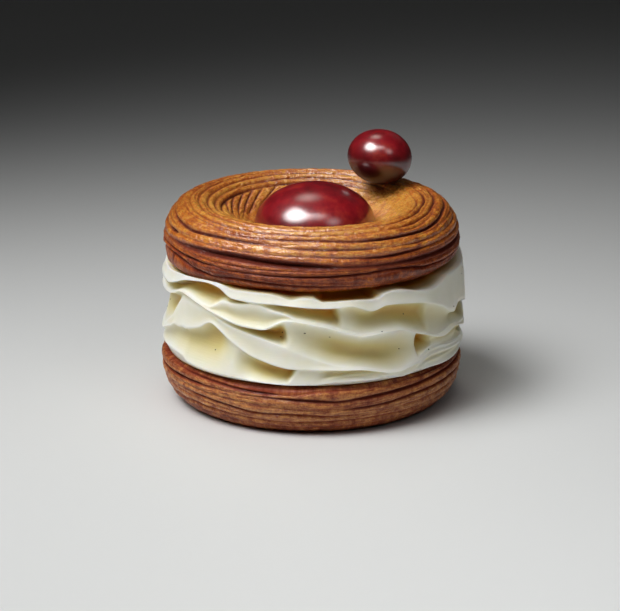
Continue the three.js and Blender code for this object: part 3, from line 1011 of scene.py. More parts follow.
@dataclass
class ChouxTop(ChouxRing):
    """Upper ring: a high crest, a wide dished inner slope, and big folds low on the outside."""

    underside: float = 41.5
    crest_radius: float = 34.0
    crest_height: float = 58.0
    hole: float = 17.9
    shift: float = LARGE_BALL_CENTRE[0]
    bulge: float = 1.0
    crest_distance: float = 41.6

    name: ClassVar[str] = "choux_top_crust"
    node: ClassVar[str] = "choux_top"
    slot: ClassVar[Slot] = Slot.CHOUX_TOP
    ENDS: ClassVar[tuple[float, float]] = (14.0, 66.0)
    GROOVES: ClassVar[tuple[Groove, ...]] = (
        Groove(RingCurve((-70, 25.9), (-60, 25.3), (-50, 23.7), (-40, 23.0), (-30, 23.6),
                         (-10, 22.9), (0, 22.5), (15, 22.0), (30, 21.3), (50, 21.6), (75, 22.4),
                         (110, 23.2), (150, 22.6), (200, 23.4), (250, 22.8)),
               RingCurve((-75, 0.5), (-60, 1.1), (-40, 0.7), (-20, 0.9), (0, 0.9), (30, 0.4),
                         (50, 0.8), (90, 0.6), (180, 0.8), (240, 0.9)), 0.5),
        Groove(RingCurve((-75, 27.6), (-60, 27.0), (-50, 26.6), (-30, 26.0), (0, 25.8), (20, 26.1),
                         (30, 26.4), (40, 25.9), (50, 24.8), (62, 24.7), (85, 25.4), (120, 26.2),
                         (180, 25.6), (230, 26.4)),
               RingCurve((-75, 0.5), (-55, 1.0), (-38, 0.4), (-15, 0.6), (0, 0.9), (20, 0.8),
                         (42, 1.0), (62, 0.6), (100, 0.7), (180, 0.6), (250, 0.8))),
        Groove(RingCurve((-70, 28.4), (-40, 27.8), (-20, 27.4), (0, 27.4), (15, 27.2), (40, 27.0),
                         (60, 26.6), (100, 27.4), (160, 27.2), (230, 28.0)),
               RingCurve((-60, 0.1), (-30, 0.35), (5, 0.35), (20, 0.05), (60, 0.5), (110, 0.3),
                         (200, 0.3), (260, 0.2)), 0.3),
        Groove(RingCurve((-80, 29.4), (-60, 29.6), (-40, 30.0), (-30, 30.1), (-20, 29.7),
                         (-10, 29.3), (0, 28.9), (10, 28.4), (30, 28.0), (65, 27.9), (100, 28.8),
                         (150, 28.2), (200, 29.6), (240, 29.2)),
               RingCurve((-80, 0.3), (-60, 0.7), (-42, 1.5), (-30, 2.1), (-5, 2.1), (6, 1.0),
                         (14, 0.6), (35, 0.7), (48, 1.2), (65, 1.2), (95, 0.7), (130, 1.2),
                         (190, 1.5), (225, 0.8), (255, 1.2)), 0.85),
        Groove(RingCurve((-70, 32.0), (-30, 31.8), (0, 31.5), (10, 31.1), (30, 30.2), (40, 30.4),
                         (60, 30.8), (100, 31.4), (160, 30.8), (220, 31.8)),
               RingCurve((-78, 0.4), (-70, 1.1), (-64, 0.3), (-20, 0.3), (0, 0.4), (18, 0.5),
                         (30, 1.0), (42, 0.8), (56, 0.3), (100, 0.6), (180, 0.6), (250, 0.4))),
        Groove(RingCurve((-88, 36.0), (-72, 35.2), (-55, 34.4), (-40, 34.8), (-20, 34.6),
                         (-10, 33.9), (0, 33.6), (20, 33.0), (45, 32.4), (80, 33.4), (130, 34.0),
                         (180, 33.4), (230, 34.6)),
               RingCurve((-88, 0.3), (-70, 0.8), (-50, 1.0), (-30, 0.9), (-14, 0.4), (0, 0.6),
                         (20, 0.6), (32, 0.15), (45, 0.5), (60, 0.2), (100, 0.6), (180, 0.6),
                         (240, 0.4))),
        Groove(RingCurve((-75, 38.0), (-45, 37.0), (-30, 36.3), (0, 36.3), (20, 35.4), (50, 35.2),
                         (62, 35.9), (80, 37.4), (110, 37.2), (180, 36.6), (240, 37.6)),
               RingCurve((-75, 0.2), (-50, 0.2), (-30, 0.5), (0, 0.6), (18, 0.6), (30, 1.1),
                         (55, 1.2), (80, 0.9), (120, 0.4), (180, 0.6), (250, 0.4))),
        Groove(RingCurve((-80, 41.0), (-60, 40.0), (-40, 39.0), (-20, 38.4), (20, 38.0),
                         (45, 38.2), (60, 39.4), (80, 40.8), (110, 40.4), (180, 39.3),
                         (240, 40.6)),
               RingCurve((-80, 0.3), (-55, 0.5), (-20, 0.6), (0, 0.5), (30, 0.3), (50, 0.6),
                         (85, 0.7), (130, 0.3), (180, 0.5), (240, 0.5))),
        Groove(RingCurve((-80, 43.4), (-60, 42.4), (-30, 41.0), (0, 40.3), (40, 40.6), (58, 42.0),
                         (75, 43.8), (105, 43.6), (150, 42.4), (200, 42.0), (245, 43.0)),
               RingCurve((-80, 0.4), (-40, 0.5), (0, 0.4), (45, 0.6), (70, 1.0), (95, 0.7),
                         (120, 0.15), (160, 0.5), (200, 0.6), (245, 0.5))),
        Groove(RingCurve((-80, 45.8), (-50, 44.6), (0, 43.0), (45, 43.8), (70, 45.8), (100, 46.4),
                         (150, 44.8), (200, 44.6), (245, 45.6)),
               RingCurve((-80, 0.5), (-40, 0.4), (0, 0.4), (50, 0.6), (75, 0.9), (95, 0.4),
                         (120, 0.1), (165, 0.7), (200, 0.6), (245, 0.5))),
        Groove(RingCurve((-80, 47.9), (0, 46.0), (70, 48.0), (120, 48.4), (180, 46.9), (245, 47.7)),
               RingCurve((-80, 0.5), (0, 0.5), (70, 0.4), (110, 0.1), (165, 0.8), (200, 0.7),
                         (235, 0.4))),
        Groove(RingCurve((-80, 49.8), (0, 48.8), (70, 51.0), (120, 50.8), (180, 49.2), (235, 49.7)),
               RingCurve((-80, 0.6), (0, 0.6), (70, 0.3), (110, 0.1), (165, 0.8), (198, 0.8),
                         (212, 0.5), (240, 0.8))),
        Groove(RingCurve((-80, 53.4), (0, 51.8), (120, 53.6), (180, 52.0), (235, 53.0)),
               RingCurve((-80, 0.0), (-40, 0.7), (30, 0.6), (70, 0.2), (110, 0.1), (150, 0.6),
                         (190, 0.7), (203, 0.0), (240, 0.0))),
        Groove(RingCurve((-80, 56.6), (0, 55.2), (120, 56.6), (180, 55.0), (235, 56.4)),
               RingCurve((-80, 0.0), (-40, 0.6), (30, 0.6), (70, 0.2), (110, 0.1), (150, 0.6),
                         (190, 0.7), (205, 0.0), (240, 0.0))),
    )
    DIVES: ClassVar[tuple[Dive, ...]] = (
        Dive(-157, 58.6), Dive(-147, 57.8), Dive(-139, 56.8), Dive(-131, 55.6),
        Dive(-121, 54.2), Dive(-110, 53.2))

    def section(self) -> Knots:
        """Corners of the section, as radius and height."""
        low = self.underside
        return [(self.hole + 1.6, low + 0.4), (self.hole + 4, low), (29, low), (36.5, low),
                (39.6, 41.9), (41.6, 43.8), (42.4, 46.8), (42.2, 50), (40.8, 53.6), (38, 56.8),
                (self.crest_radius, self.crest_height), (30, 57.3), (25, 54.6), (20.9, 51.6),
                (self.hole + 0.2, 49.4), (self.hole, 46.5), (self.hole + 0.3, 43.5)]

    def smooth(self, turn: Array, distance: Array) -> Array:
        """The strands have run together on the right of the inner slope."""
        inner = ease(self.crest_distance + 4, self.crest_distance + 9, distance)
        return inner * ease(48, 22, np.abs(offset_from(turn, 112)))

    def swell(self, turn: Array, distance: Array) -> Array:
        """The lowest fold swells down over the cream at the front left."""
        side = ease(-38, -58, offset_from(turn, 0)) * ease(-92, -76, offset_from(turn, 0))
        return self.bulge * side * ease(17.5, 20, distance) * ease(25, 22, distance)

    def rows(self) -> Array:
        """Distances along the skin of the mesh's rows."""
        return np.concatenate([np.linspace(0.5, 15, 8), np.linspace(16.5, 19.5, 8),
                               np.linspace(20, 44, 116), np.linspace(44.35, 59, 50),
                               np.linspace(60.2, 66.5, 6)])

    def place(self, turn: Array, radius: Array, height: Array) -> Array:
        """Put a section point in space, with the hole moved round the large ball.

        Args:
            turn: Turn of each column.
            radius: Radius of each point.
            height: Height of each point.

        Returns:
            The points.
        """
        radius = radius + 0.2 * wobble(turn, 7, 1, 5)
        points = around(turn, radius, np.maximum(height, self.underside))
        points[..., 0] += self.shift * ease(self.crest_radius, self.hole + 4, radius)
        return points

    def baking_with_painted_light(self, turn: Array, distance: Array, height: Array) -> Array:
        """How brown the crust is drawn: golden on the crest and inner slope, dark on the folds,
        with painted light and shade.

        Args:
            turn: Turn of each column.
            distance: Distance of each row along the skin.
            height: Height of each point, not used here.

        Returns:
            The drawn browning at each point, with its painted light and shade, 0 to 1.
        """
        # Painted light: the front of the crest, where the key light falls, is drawn paler.
        front = ease(80, 35, np.abs(offset_from(turn, 0))) * ease(30, 34, distance)
        # The lower outside, over the folds, is drawn darker: partly browner crust, partly painted
        # shade.
        outside = 0.34 - 0.1 * front + 0.44 * ease(34, 25, distance)
        inside = 0.2 - 0.14 * self.smooth(turn, distance)
        share = ease(self.crest_distance - 1, self.crest_distance + 5, distance)
        return outside * (1 - share) + inside * share + 0.08 * wobble(turn, 15, 2, 5)


# --- Cream ----------------------------------------------------------------------------------


@dataclass(frozen=True)
class Valley:
    """The hollow band between two crisp edges of cream.

    Depth is in millimetres round the ring. The peak is how far down the band it lies, and lean is
    how many degrees a step in the depth moves by the foot of the band.
    """

    rows: int
    depth: RingCurve
    peak: RingCurve
    lean: float = 0.0


@dataclass(frozen=True)
class Ridge:
    """A thin ridge left on the cream by the edge of the nozzle."""

    height: RingCurve
    start: float
    end: float
    rise: float = 0.5
    width: float = 0.4

    UNDERCUT: ClassVar[float] = 1.7

    def swell(self, turn: Array, height: Array) -> Array:
        """How far the ridge stands out of the cream.

        Args:
            turn: Turn of each column.
            height: Height of the cream there.

        Returns:
            The swelling at each turn, in millimetres.
        """
        degrees = np.degrees(turn) % 360
        shown = ease(self.start, self.start + 5, degrees) * ease(self.end, self.end - 9, degrees)
        away = (height - self.height(turn)) / self.width
        above, below = np.exp(-away ** 2), np.exp(-(away / self.UNDERCUT) ** 2)
        return self.rise * shown * np.where(away > 0, above, below)


@dataclass
class CreamLayer:
    """Piped cream ruffled into thin ribbons that fall toward the right."""

    columns: int = 620
    radius: float = 43.5
    top: float = 41.15
    bottom: float = 15.15
    foot_radius: float = 41.4
    gap: float = 0.5
    ball_radius: float = LARGE_BALL_RADIUS
    ball_half_height: float = LARGE_BALL_HALF_HEIGHT
    ball_x: float = LARGE_BALL_CENTRE[0]
    ball_z: float = LARGE_BALL_CENTRE[2]
    clearance: float = 0.4
    trough_rows: int = 20
    ripple: float = 0.2
    unevenness: float = 0.3
    full_side: float = 88.0
    finish: CreamFinish = field(default_factory=CreamFinish)

    TROUGH_SHADE: ClassVar[float] = 4.5
    VALLEY_SHADE: ClassVar[float] = 5.5
    POCKET_SHADE: ClassVar[float] = 0.8
    FLOOR_SHADE: ClassVar[float] = 0.5
    READING_RADIUS: ClassVar[float] = 40.0
    INSETS: ClassVar[tuple[float, ...]] = (1.2, 0.2, 0.9, 0.0, 0.7, 0.1, 0.3)
    BULGES: ClassVar[tuple[float, ...]] = (0.9, 0.9, 0.8, 0.7, 0.3, 0.1, 0.0)
    START: ClassVar[RingCurve] = RingCurve(
        (-90, 38.0), (-60, 36.0), (-45, 36.0), (-35, 38.0), (-17, 38.4), (-8, 36.0), (-2, 37.4),
        (2, 36.0), (5, 32.6), (24, 32.6), (28, 36.0), (33, 38.0), (40, 35.0), (50, 33.6),
        (58, 35.0), (64, 38.4), (100, 38.4), (125, 36.0), (140, 33.6), (152, 35.0), (160, 38.2),
        (185, 38.0), (205, 35.0), (222, 33.6), (234, 38.2))
    DIP: ClassVar[RingCurve] = RingCurve(
        (-90, 0.4), (-60, 0.9), (-45, 0.6), (-35, 0.0), (-17, 0.0), (-8, 0.6), (0, 0.3), (5, 2.0),
        (24, 2.0), (27.5, 0.3), (35, 0.2), (45, 1.4), (54, 1.2), (62, 0.0), (110, 0.0),
        (128, 1.4), (148, 1.6), (156, 0.2), (185, 0.1), (205, 1.4), (224, 1.8), (232, 0.1))
    BROW: ClassVar[RingCurve] = RingCurve(
        (-90, 40.4), (-75, 40.6), (-60, 41.6), (-46, 42.3), (-38, 42.5), (-30, 41.1), (-17, 41.1),
        (-12, 40.6), (-8, 39.7), (-3, 40.4), (1, 40.2), (5, 39.4), (15, 39.6), (26, 39.2),
        (29, 40.4), (33, 40.9), (38, 40.4), (45, 39.2), (52, 38.6), (58, 39.4), (64, 40.9),
        (80, 41.1), (104, 42.0), (125, 41.2), (135, 39.6), (150, 39.2), (158, 40.6), (180, 41.0),
        (200, 40.2), (215, 39.0), (228, 39.4), (236, 40.8))
    UPPER: ClassVar[RingCurve] = RingCurve(
        (-122, 41.2), (-96, 38.4), (-71, 37.5), (-54, 41.0), (-42, 41.9), (-37, 41.4),
        (-31, 39.0), (-20, 38.6), (8, 38.0), (14, 38.2), (23, 36.2), (29, 37.4), (44, 36.0),
        (56, 33.4), (66, 29.8), (70, 31.6), (84, 29.5), (104, 41.0), (125, 39.6), (160, 36.5),
        (195, 31.5), (218, 29.0))
    MIDDLE: ClassVar[RingCurve] = RingCurve(
        (-114, 33.5), (-90, 33.6), (-69, 34.4), (-57, 36.8), (-48, 35.6), (-38, 33.6),
        (-26, 31.4), (-19, 31.2), (-9, 34.4), (3, 32.8), (13, 30.6), (20, 29.4), (33, 29.6),
        (45, 27.0), (58, 24.2), (66, 25.2), (90, 21.4), (108, 22.0), (122, 34.5), (140, 33.5),
        (170, 29.0), (205, 22.5), (226, 21.5))
    LOWER: ClassVar[RingCurve] = RingCurve(
        (-102, 24.0), (-86, 22.0), (-70, 26.8), (-57, 34.6), (-48, 34.0), (-40, 32.9),
        (-32, 31.0), (-22, 29.2), (-9, 25.8), (0, 23.4), (10, 21.2), (20, 20.0), (34, 18.2),
        (42, 19.4), (52, 22.4), (62, 21.2), (77, 19.6), (90, 18.9), (112, 18.4), (128, 20.0),
        (142, 28.5), (165, 26.0), (200, 19.5), (238, 18.6))
    FOOT: ClassVar[RingCurve] = RingCurve(
        (-120, 16.4), (-92, 17.2), (-64, 18.2), (-58, 17.9), (-55.5, 16.7), (-45, 16.3),
        (-30, 16.2), (-20, 15.9), (-8, 15.6), (2, 15.9), (10, 16.6), (30, 16.6), (36, 15.8),
        (42, 16.5), (60, 16.0), (75, 16.3), (92, 16.9), (120, 16.2), (150, 17.2), (180, 16.4),
        (210, 17.4))
    INNER_SHARE: ClassVar[RingCurve] = RingCurve(
        (-92, 0.9), (-50, 0.94), (-43, 0.9), (-33, 0.3), (-26, 0.14), (-22, 0.05), (-16, 0.24),
        (-10, 0.6), (-5, 0.9), (60, 0.96), (100, 0.5), (150, 0.15), (185, 0.6), (215, 0.94),
        (245, 0.3))
    ROLLED_SHARE: ClassVar[RingCurve] = RingCurve(
        (-92, 0.2), (-67, 0.3), (-60, 0.48), (-48, 0.34), (-40, 0.14), (-31, 0.28), (-22, 0.46),
        (-10, 0.54), (0, 0.4), (10, 0.24), (20, 0.14), (34, 0.2), (47, 0.42), (60, 0.36),
        (80, 0.5), (142, 0.3), (180, 0.6), (238, 0.4))
    EVEN: ClassVar[RingCurve] = RingCurve((0, 0.42), (180, 0.42))
    VALLEYS: ClassVar[tuple[Valley, ...]] = (
        Valley(10, RingCurve((0, 0.25), (180, 0.25)), EVEN),
        Valley(26, RingCurve(
            (-90, 2.5), (-74, 3.0), (-60, 4.0), (-45, 5.0), (-30, 4.6), (-25, 2.4), (-20, 1.2),
            (-12, 2.8), (0, 4.2), (8.0, 4.8), (11.4, 1.0), (20, 2.4), (35, 3.8), (47, 3.6),
            (50, 1.4), (62, 1.4), (75, 3.2), (95, 5.4), (97, 1.0), (120, 3.4), (146, 5.6),
            (148, 1.2), (175, 3.0), (198, 5.6), (200, 1.0), (225, 3.0), (248, 5.4), (250, 1.2)),
            EVEN, -2.0),
        Valley(18, RingCurve(
            (-90, 0.6), (-45, 0.6), (-30, 1.4), (-15, 1.2), (0, 0.5), (60, 0.4), (120, 0.9),
            (185, 1.4), (240, 1.2)), RingCurve((0, 0.7), (180, 0.7))),
        Valley(44, RingCurve(
            (-90, 2.0), (-70, 3.6), (-57, 0.5), (-46, 0.6), (-36, 1.6), (-27, 3.4), (-12.6, 4.6),
            (-8.4, 0.9), (-4, 1.2), (3, 2.2), (12, 3.2), (24, 3.2), (34, 2.2), (42.5, 1.0),
            (44.5, 5.4), (49, 5.0), (51.5, 1.0), (60, 1.4), (78, 1.8), (90, 5.0), (92, 1.0),
            (115, 3.6), (138, 5.6), (140, 1.2), (165, 3.6), (189, 6.4), (191, 1.0), (215, 3.6),
            (239, 6.0), (241, 1.0)),
            RingCurve((-90, 0.4), (-34, 0.4), (-27, 0.58), (6, 0.6), (26, 0.62), (40, 0.55),
                      (44, 0.4), (90, 0.4), (115, 0.6), (165, 0.62), (215, 0.6)), -1.0),
        Valley(14, RingCurve((-90, 0.2), (-50, 0.5), (-10, 0.3), (60, 0.2), (150, 0.5), (220, 0.3)),
               RingCurve((0, 0.6), (180, 0.6))),
        Valley(34, RingCurve(
            (-90, 0.8), (-76, 1.0), (-66, 1.6), (-50, 2.6), (-40, 3.2), (-33, 1.0), (-30, 0.6),
            (-25, 2.2), (-17, 4.0), (-8.6, 4.2), (-6.6, 0.5), (1, 0.5), (6, 1.4), (16, 1.7),
            (24, 1.0), (29, 0.3), (42, 0.4), (60, 0.8), (78, 1.0), (92, 2.6), (94, 0.5),
            (120, 2.0), (142, 3.8), (144, 0.6), (170, 2.2), (192, 3.8), (194, 0.6), (218, 2.2),
            (242, 3.6), (244, 0.6)),
            RingCurve((-90, 0.5), (-50, 0.34), (-36, 0.34), (-20, 0.4), (60, 0.4), (180, 0.4)),
            4.0),
        Valley(6, RingCurve((0, 0.0), (180, 0.0)), EVEN),
    )
    FAN: ClassVar[tuple[Ridge, ...]] = (
        Ridge(RingCurve((47, 20.4), (51, 21.4), (56, 21.5), (62, 20.8), (76, 20.2)), 46, 80),
        Ridge(RingCurve((41, 17.2), (46, 19.0), (51, 19.9), (60, 19.4), (76, 19.0)), 40, 80),
        Ridge(RingCurve((43, 16.9), (50, 18.0), (60, 18.1), (76, 17.8)), 44, 82, 0.4),
        Ridge(RingCurve((3, 16.9), (9, 17.9), (16, 18.5), (24, 18.2), (29, 16.9)), 3, 34, 0.7),
        Ridge(RingCurve((52, 23.3), (60, 22.9), (74, 22.6)), 52, 84, 0.35),
    )

    name: ClassVar[str] = "ruffled_cream"
    node: ClassVar[str] = "cream"
    slot: ClassVar[Slot] = Slot.CREAM

    def heights(self, turn: Array) -> list[Array]:
        """Heights of the seven crisp edges, top to bottom.

        Args:
            turn: Where they are read.

        Returns:
            One array for each edge.
        """
        ripple = self.ripple * wobble(turn, 5, 6, 13)
        upper = self.UPPER(turn) + ripple
        brow = np.maximum(self.BROW(turn), upper + self.gap)
        middle = np.minimum(self.MIDDLE(turn) - ripple, upper - 2 * self.gap)
        inner = np.clip(upper + (middle - upper) * self.INNER_SHARE(turn), middle + self.gap,
                        upper - self.gap)
        lower = np.minimum(self.LOWER(turn) + ripple, middle - self.gap)
        foot = np.minimum(self.FOOT(turn), lower - 2 * self.gap)
        rolled = np.clip(lower + (foot - lower) * self.ROLLED_SHARE(turn), foot + self.gap,
                         lower - self.gap)
        return [brow, upper, inner, middle, lower, rolled, foot]

    def reach(self, turn: Array, edge: int) -> Array:
        """Radius of a crisp edge, fuller on the right."""
        bulge = self.BULGES[edge] * ease(48, 5, np.abs(offset_from(turn, self.full_side)))
        return (self.radius + self.unevenness * np.sin(turn) + bulge - self.INSETS[edge]
                + self.unevenness * wobble(turn, 70 + edge, 3, 9))

    def trough(self, turn: Array, t: float) -> tuple[Array, Array, Array]:
        """Surface from under the top ring out to the first edge, with the trough behind it.

        Args:
            turn: Turn of each column.
            t: Share of the way out, 0 to 1.

        Returns:
            Radius, height, and how hollow the place is from 0 to 1.
        """
        start = self.START(turn)
        radius = start + (self.reach(turn, 0) - start) * t
        rise = (self.heights(turn)[0] - self.top) * t ** 2.2
        height = self.top + rise - self.DIP(turn) * math.sin(math.pi * t ** 0.8)
        return radius, height, np.clip((self.radius - 1.5 - radius) / self.TROUGH_SHADE, 0, 1)

    def valley(self, turn: Array, which: int, t: float) -> tuple[Array, Array, Array]:
        """Surface between two edges.

        Args:
            turn: Turn of each column.
            which: Number of the valley from the top.
            t: How far down the valley, 0 to 1.

        Returns:
            Radius, height, and how hollow the place is from 0 to 1.
        """
        heights = self.heights(turn)
        valley = self.VALLEYS[which]
        start, high = self.reach(turn, which), heights[which]
        if which == len(self.VALLEYS) - 1:
            end, low = self.foot_radius + 0 * turn, self.bottom + 0 * turn
        else:
            end, low = self.reach(turn, which + 1), heights[which + 1]
        drop = high - low
        leaning = turn + math.radians(valley.lean) * (t - 0.5)
        depth = valley.depth(leaning) * ease(0, 2.2, drop)
        power = math.log(0.5) / np.log(valley.peak(turn))
        hollow = depth * np.sin(np.pi * t ** power) ** 1.1
        radius = start + (end - start) * t - hollow
        height = high - drop * t ** 1.2
        for ridge in self.FAN:
            radius = radius + ridge.swell(turn, height) * math.sin(math.pi * t) ** 0.3
        return radius, height, np.clip(hollow / self.VALLEY_SHADE, 0, 1)

    def pocket(self, turn: Array, share: float) -> Array:
        """One row of the pocket that the large ball sits in.

        Args:
            turn: Turn of each column.
            share: How far down the pocket, from 0 at its brim to 1 at its floor.

        Returns:
            The points.
        """
        reach = self.ball_radius + self.clearance
        depth = self.ball_half_height + self.clearance
        brim = math.asin((self.ball_z - self.top) / depth)
        tilt = brim + (math.pi / 2 - brim) * share
        points = around(turn, reach * math.cos(tilt), self.ball_z - depth * math.sin(tilt))
        points[..., 0] += self.ball_x
        return points

    def sheet(self) -> Sheet:
        """The whole cream as a grid, from its floor up and over into the pocket.

        Returns:
            The grid, with what the cream's finish reads.
        """
        turn = TURN * np.arange(self.columns) / self.columns
        rows = [self.pocket(turn, share) for share in (0.8, 0.6, 0.4, 0.2, 0.0)]
        rows += [around(turn, radius, self.top) for radius in (24.0, 30.0)]
        shades = [np.full(turn.shape, self.POCKET_SHADE)] * len(rows)
        bands = [self.trough(turn, step / self.trough_rows) for step in range(self.trough_rows)]
        for which, valley in enumerate(self.VALLEYS):
            bands += [self.valley(turn, which, step / valley.rows) for step in range(valley.rows)]
        for radius, height, shade in bands:
            rows.append(around(turn, radius, height))
            shades.append(shade)
        for radius in (self.foot_radius, 34.0, 22.0):
            rows.append(around(turn, radius, self.bottom))
            shades.append(np.full(turn.shape, self.FLOOR_SHADE))
        points = np.stack(rows[::-1])
        ring = np.broadcast_to(turn, points.shape[:2])
        reach = self.READING_RADIUS
        strand = np.stack([reach * np.sin(ring), reach * np.cos(ring), points[..., 2]], -1)
        floor = Vector((0, 0, self.bottom))
        pit = Vector((self.ball_x, 0, self.ball_z - self.ball_half_height - self.clearance))
        return Sheet(points, {"cavity": np.stack(shades[::-1]), "strand": strand},
                     poles=(floor, pit))

    def build(self) -> bpy.types.Object:
        """Make and dress the cream.

        Returns:
            The cream.
        """
        piece = self.sheet().build(self.name)
        piece.data.materials.append(self.finish.make())
        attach(piece, "root")
        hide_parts(self.node)
        return piece


@dataclass
class VanillaSeeds:
    """Vanilla seeds caught in the surface of the cream.

    The ones in front stand at chosen turns and heights, and the others are scattered.
    """

    FRONT: ClassVar[Knots] = (
        (-57, 26.0), (-41, 22.3), (-12, 29.5), (-12.3, 28.5), (-2.5, 30.5), (7, 29.1),
        (27, 29.9), (40, 32.6), (36, 23.4), (49.5, 21.5), (66, 31.0))
    TURNS: ClassVar[tuple[float, float]] = (75, 285)
    HEIGHTS: ClassVar[tuple[float, float]] = (19, 39)
    SIZES: ClassVar[tuple[float, float]] = (0.7, 1.25)
    OUTSIDE: ClassVar[float] = 60
    SIDES: ClassVar[int] = 6
    scattered: int = 34
    size: float = 0.26
    random_seed: int = 12
    finish: SeedFinish = field(default_factory=SeedFinish)

    name: ClassVar[str] = "vanilla_seeds"

    def build(self, cream: bpy.types.Object) -> bpy.types.Object:
        """Scatter the seeds on the cream as one piece.

        Args:
            cream: The cream piece that they lie in.

        Returns:
            The seeds.
        """
        random = np.random.default_rng(self.random_seed)
        tree = BVHTree.FromPolygons([vertex.co for vertex in cream.data.vertices],
                                    [tuple(face.vertices) for face in cream.data.polygons])
        spots = list(self.FRONT)
        spots += [(random.uniform(*self.TURNS), random.uniform(*self.HEIGHTS))
                  for _ in range(self.scattered)]
        places, faces = [], []
        for degrees, height in spots:
            turn = math.radians(degrees)
            outward = Vector((math.sin(turn), -math.cos(turn), 0))
            start = outward * self.OUTSIDE * MM + Vector((0, 0, height * MM))
            hit, normal = tree.ray_cast(start, -outward)[:2]
            if hit is None:
                continue
            first = len(places)
            scale = self.size * random.uniform(*self.SIZES)
            corners, sides = self.seed(random)
            turned = Vector((0, 0, 1)).rotation_difference(normal).to_matrix()
            places += [hit + turned @ (corner * scale * MM) for corner in corners]
            faces += [tuple(first + corner for corner in side) for side in sides]
        mesh = bpy.data.meshes.new(self.name)
        mesh.from_pydata(places, [], faces)
        mesh.shade_smooth()
        piece = stand(self.name, mesh)
        mesh.materials.append(self.finish.make())
        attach(piece, "root")
        return piece

    def seed(self, random: np.random.Generator) -> tuple[list[Vector], list[tuple[int, ...]]]:
        """One seed: a flattened bead of twelve faces, turned at random.

        Args:
            random: Where its turn is drawn from.

        Returns:
            Its corners and its faces.
        """
        spin = random.uniform(0, TURN)
        count = self.SIDES
        turns = [spin + TURN * i / count for i in range(count)]
        ring = [Vector((math.cos(turn) * 1.15, math.sin(turn) * 0.85, 0)) for turn in turns]
        corners = ring + [Vector((0, 0, 0.45)), Vector((0, 0, -0.6))]
        sides = [(i, (i + 1) % count, count) for i in range(count)]
        sides += [((i + 1) % count, i, count + 1) for i in range(count)]
        return corners, sides


# --- Glazed balls ---------------------------------------------------------------------------


@dataclass
class GlazedBall:
    """A fruit-sized ball under a mirror glaze."""

    name: str
    node: str
    radius: float
    half_height: float
    centre: tuple[float, float, float]
    tilt: float = 0.0
    seed: int = 1
    finish: GlazeFinish = field(default_factory=GlazeFinish)
    columns: int = 128
    rows: int = 72
    unevenness: float = 0.006

    def build(self) -> bpy.types.Object:
        """Make and dress the ball.

        Returns:
            The ball.
        """
        turn = TURN * np.arange(self.columns)[None, :] / self.columns
        angle = (np.pi * (np.arange(self.rows) + 1) / (self.rows + 1) - np.pi / 2)[:, None]
        points = around(turn, self.radius * np.cos(angle), self.half_height * np.sin(angle))
        bumps = grain(points / self.radius, 1.4, self.seed)[..., None]
        points = points * (1 + self.unevenness * bumps - self.unevenness)
        lean = Matrix.Rotation(math.radians(self.tilt), 3, "Y")
        centre = Vector(self.centre)
        points = points @ np.array(lean).T + np.array(self.centre)
        poles = tuple(lean @ Vector((0, 0, side * self.half_height * 0.99)) + centre
                      for side in (-1, 1))
        # How low each row lies, 0 at the top to 1 at the bottom; the glaze paints shade with it.
        foot = np.broadcast_to(0.5 - 0.5 * np.sin(angle), points.shape[:2])
        piece = Sheet(points, {"foot": foot}, poles=poles).build(self.name)
        piece.data.materials.append(self.finish.make())
        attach(piece, "root")
        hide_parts(self.node)
        return piece


# --- Studio ---------------------------------------------------------------------------------


@dataclass(frozen=True)
class Softbox:
    """A soft rectangular light that faces the pastry."""

    name: str
    toward: tuple[float, float, float]
    aim: tuple[float, float, float]
    distance: float
    width: float
    height: float
    power: float
    spread: float = 180.0
    colour: tuple[float, float, float] = (1.0, 1.0, 1.0)

    def build(self) -> None:
        """Hang the light and turn it to its aim."""
        aim = Vector(self.aim)
        light = bpy.data.lights.new(self.name, "AREA")
        light.shape = "RECTANGLE"
        light.size, light.size_y = self.width, self.height
        light.energy = self.power
        light.color = self.colour
        light.spread = math.radians(self.spread)
        lamp = stand(self.name, light)
        lamp.location = aim + Vector(self.toward).normalized() * self.distance
        lamp.rotation_euler = (lamp.location - aim).to_track_quat("Z", "Y").to_euler()


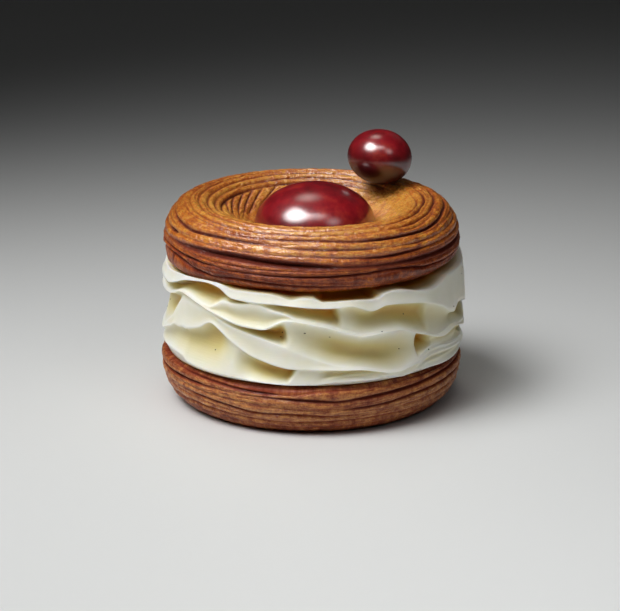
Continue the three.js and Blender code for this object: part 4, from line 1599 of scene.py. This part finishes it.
@dataclass
class Studio:
    """Floor, lights and camera."""

    aim: tuple[float, float, float] = (-0.0004, 0.0, 0.0259)
    elevation: float = 16.7
    distance: float = 0.8
    lens: float = 160.4
    sensor: float = 36.0
    nearest: float = 0.05
    floor_size: float = 6.0
    air: tuple[float, float, float, float] = (1.0, 0.98, 0.95, 1.0)
    ambient: float = 0.008
    lights: tuple[Softbox, ...] = (
        Softbox("key_softbox", (-0.449, -0.249, 0.859), (0.015, -0.13, 0.0), 0.615, 0.64, 0.46,
                0.95, 48),
        Softbox("floor_softbox", (0.0, -0.3, 1.0), (0.06, -0.3, 0.0), 0.8, 0.9, 0.6, 0.34, 42),
        Softbox("back_softbox", (-0.1, 0.45, 0.89), (0.01, -0.03, 0.03), 0.7, 0.7, 0.5, 0.055, 28,
                (1.0, 0.95, 0.86)),
        Softbox("front_fill", (0.6, -0.62, 0.85), (0.0, -0.25, 0.03), 1.25, 1.6, 1.1, 0.26, 32),
        Softbox("back_fill", (0.5, 1.0, 0.6), (0.0, 0.0, 0.03), 1.3, 1.6, 1.2, 0.01, 30),
    )

    def build(self) -> None:
        """Set the floor, lights and camera."""
        self.floor()
        for light in self.lights:
            light.build()
        world = bpy.data.worlds.new("studio_air")
        world.use_nodes = True
        air = world.node_tree.nodes["Background"]
        air.inputs["Color"].default_value = self.air
        air.inputs["Strength"].default_value = self.ambient
        bpy.context.scene.world = world
        bpy.context.scene.view_settings.view_transform = "Standard"
        self.camera()

    def floor(self) -> None:
        """Lay the floor."""
        half = self.floor_size / 2
        mesh = bpy.data.meshes.new("studio_floor")
        mesh.from_pydata([(-half, -half, 0), (half, -half, 0), (half, half, 0), (-half, half, 0)],
                         [], [(0, 1, 2, 3)])
        floor = stand("studio_floor", mesh)
        mesh.materials.append(FloorFinish().make())

    def camera(self) -> None:
        """Stand the camera in front, a little above the pastry."""
        aim = Vector(self.aim)
        tilt = math.radians(self.elevation)
        eye = bpy.data.cameras.new("camera")
        eye.lens = self.lens
        eye.sensor_width = self.sensor
        eye.clip_start = self.nearest
        view = stand("camera", eye)
        view.location = aim + Vector((0, -math.cos(tilt), math.sin(tilt))) * self.distance
        view.rotation_euler = (view.location - aim).to_track_quat("Z", "Y").to_euler()
        bpy.context.scene.camera = view


def report(piece: bpy.types.Object) -> None:
    """Log a piece's name and how many triangles it has.

    Args:
        piece: The piece.
    """
    triangles = sum(len(face.vertices) - 2 for face in piece.data.polygons)
    log.info("%s: %d triangles", piece.name, triangles)


def main() -> None:
    """Build and dress the whole pastry, then the studio."""
    logging.basicConfig(level=logging.INFO, format="%(message)s")
    report(ChouxBase().build())
    cream = CreamLayer().build()
    report(cream)
    report(VanillaSeeds().build(cream))
    report(ChouxTop().build())
    report(GlazedBall("large_glazed_fruit", "large_glazed_ball", LARGE_BALL_RADIUS,
                      LARGE_BALL_HALF_HEIGHT, LARGE_BALL_CENTRE).build())
    report(GlazedBall("small_glazed_fruit", "small_glazed_ball", 9.5, 8.0, (20.0, 18.6, 65.7),
                      tilt=8.0, seed=4).build())
    Studio().build()


if __name__ == "__main__":
    main()
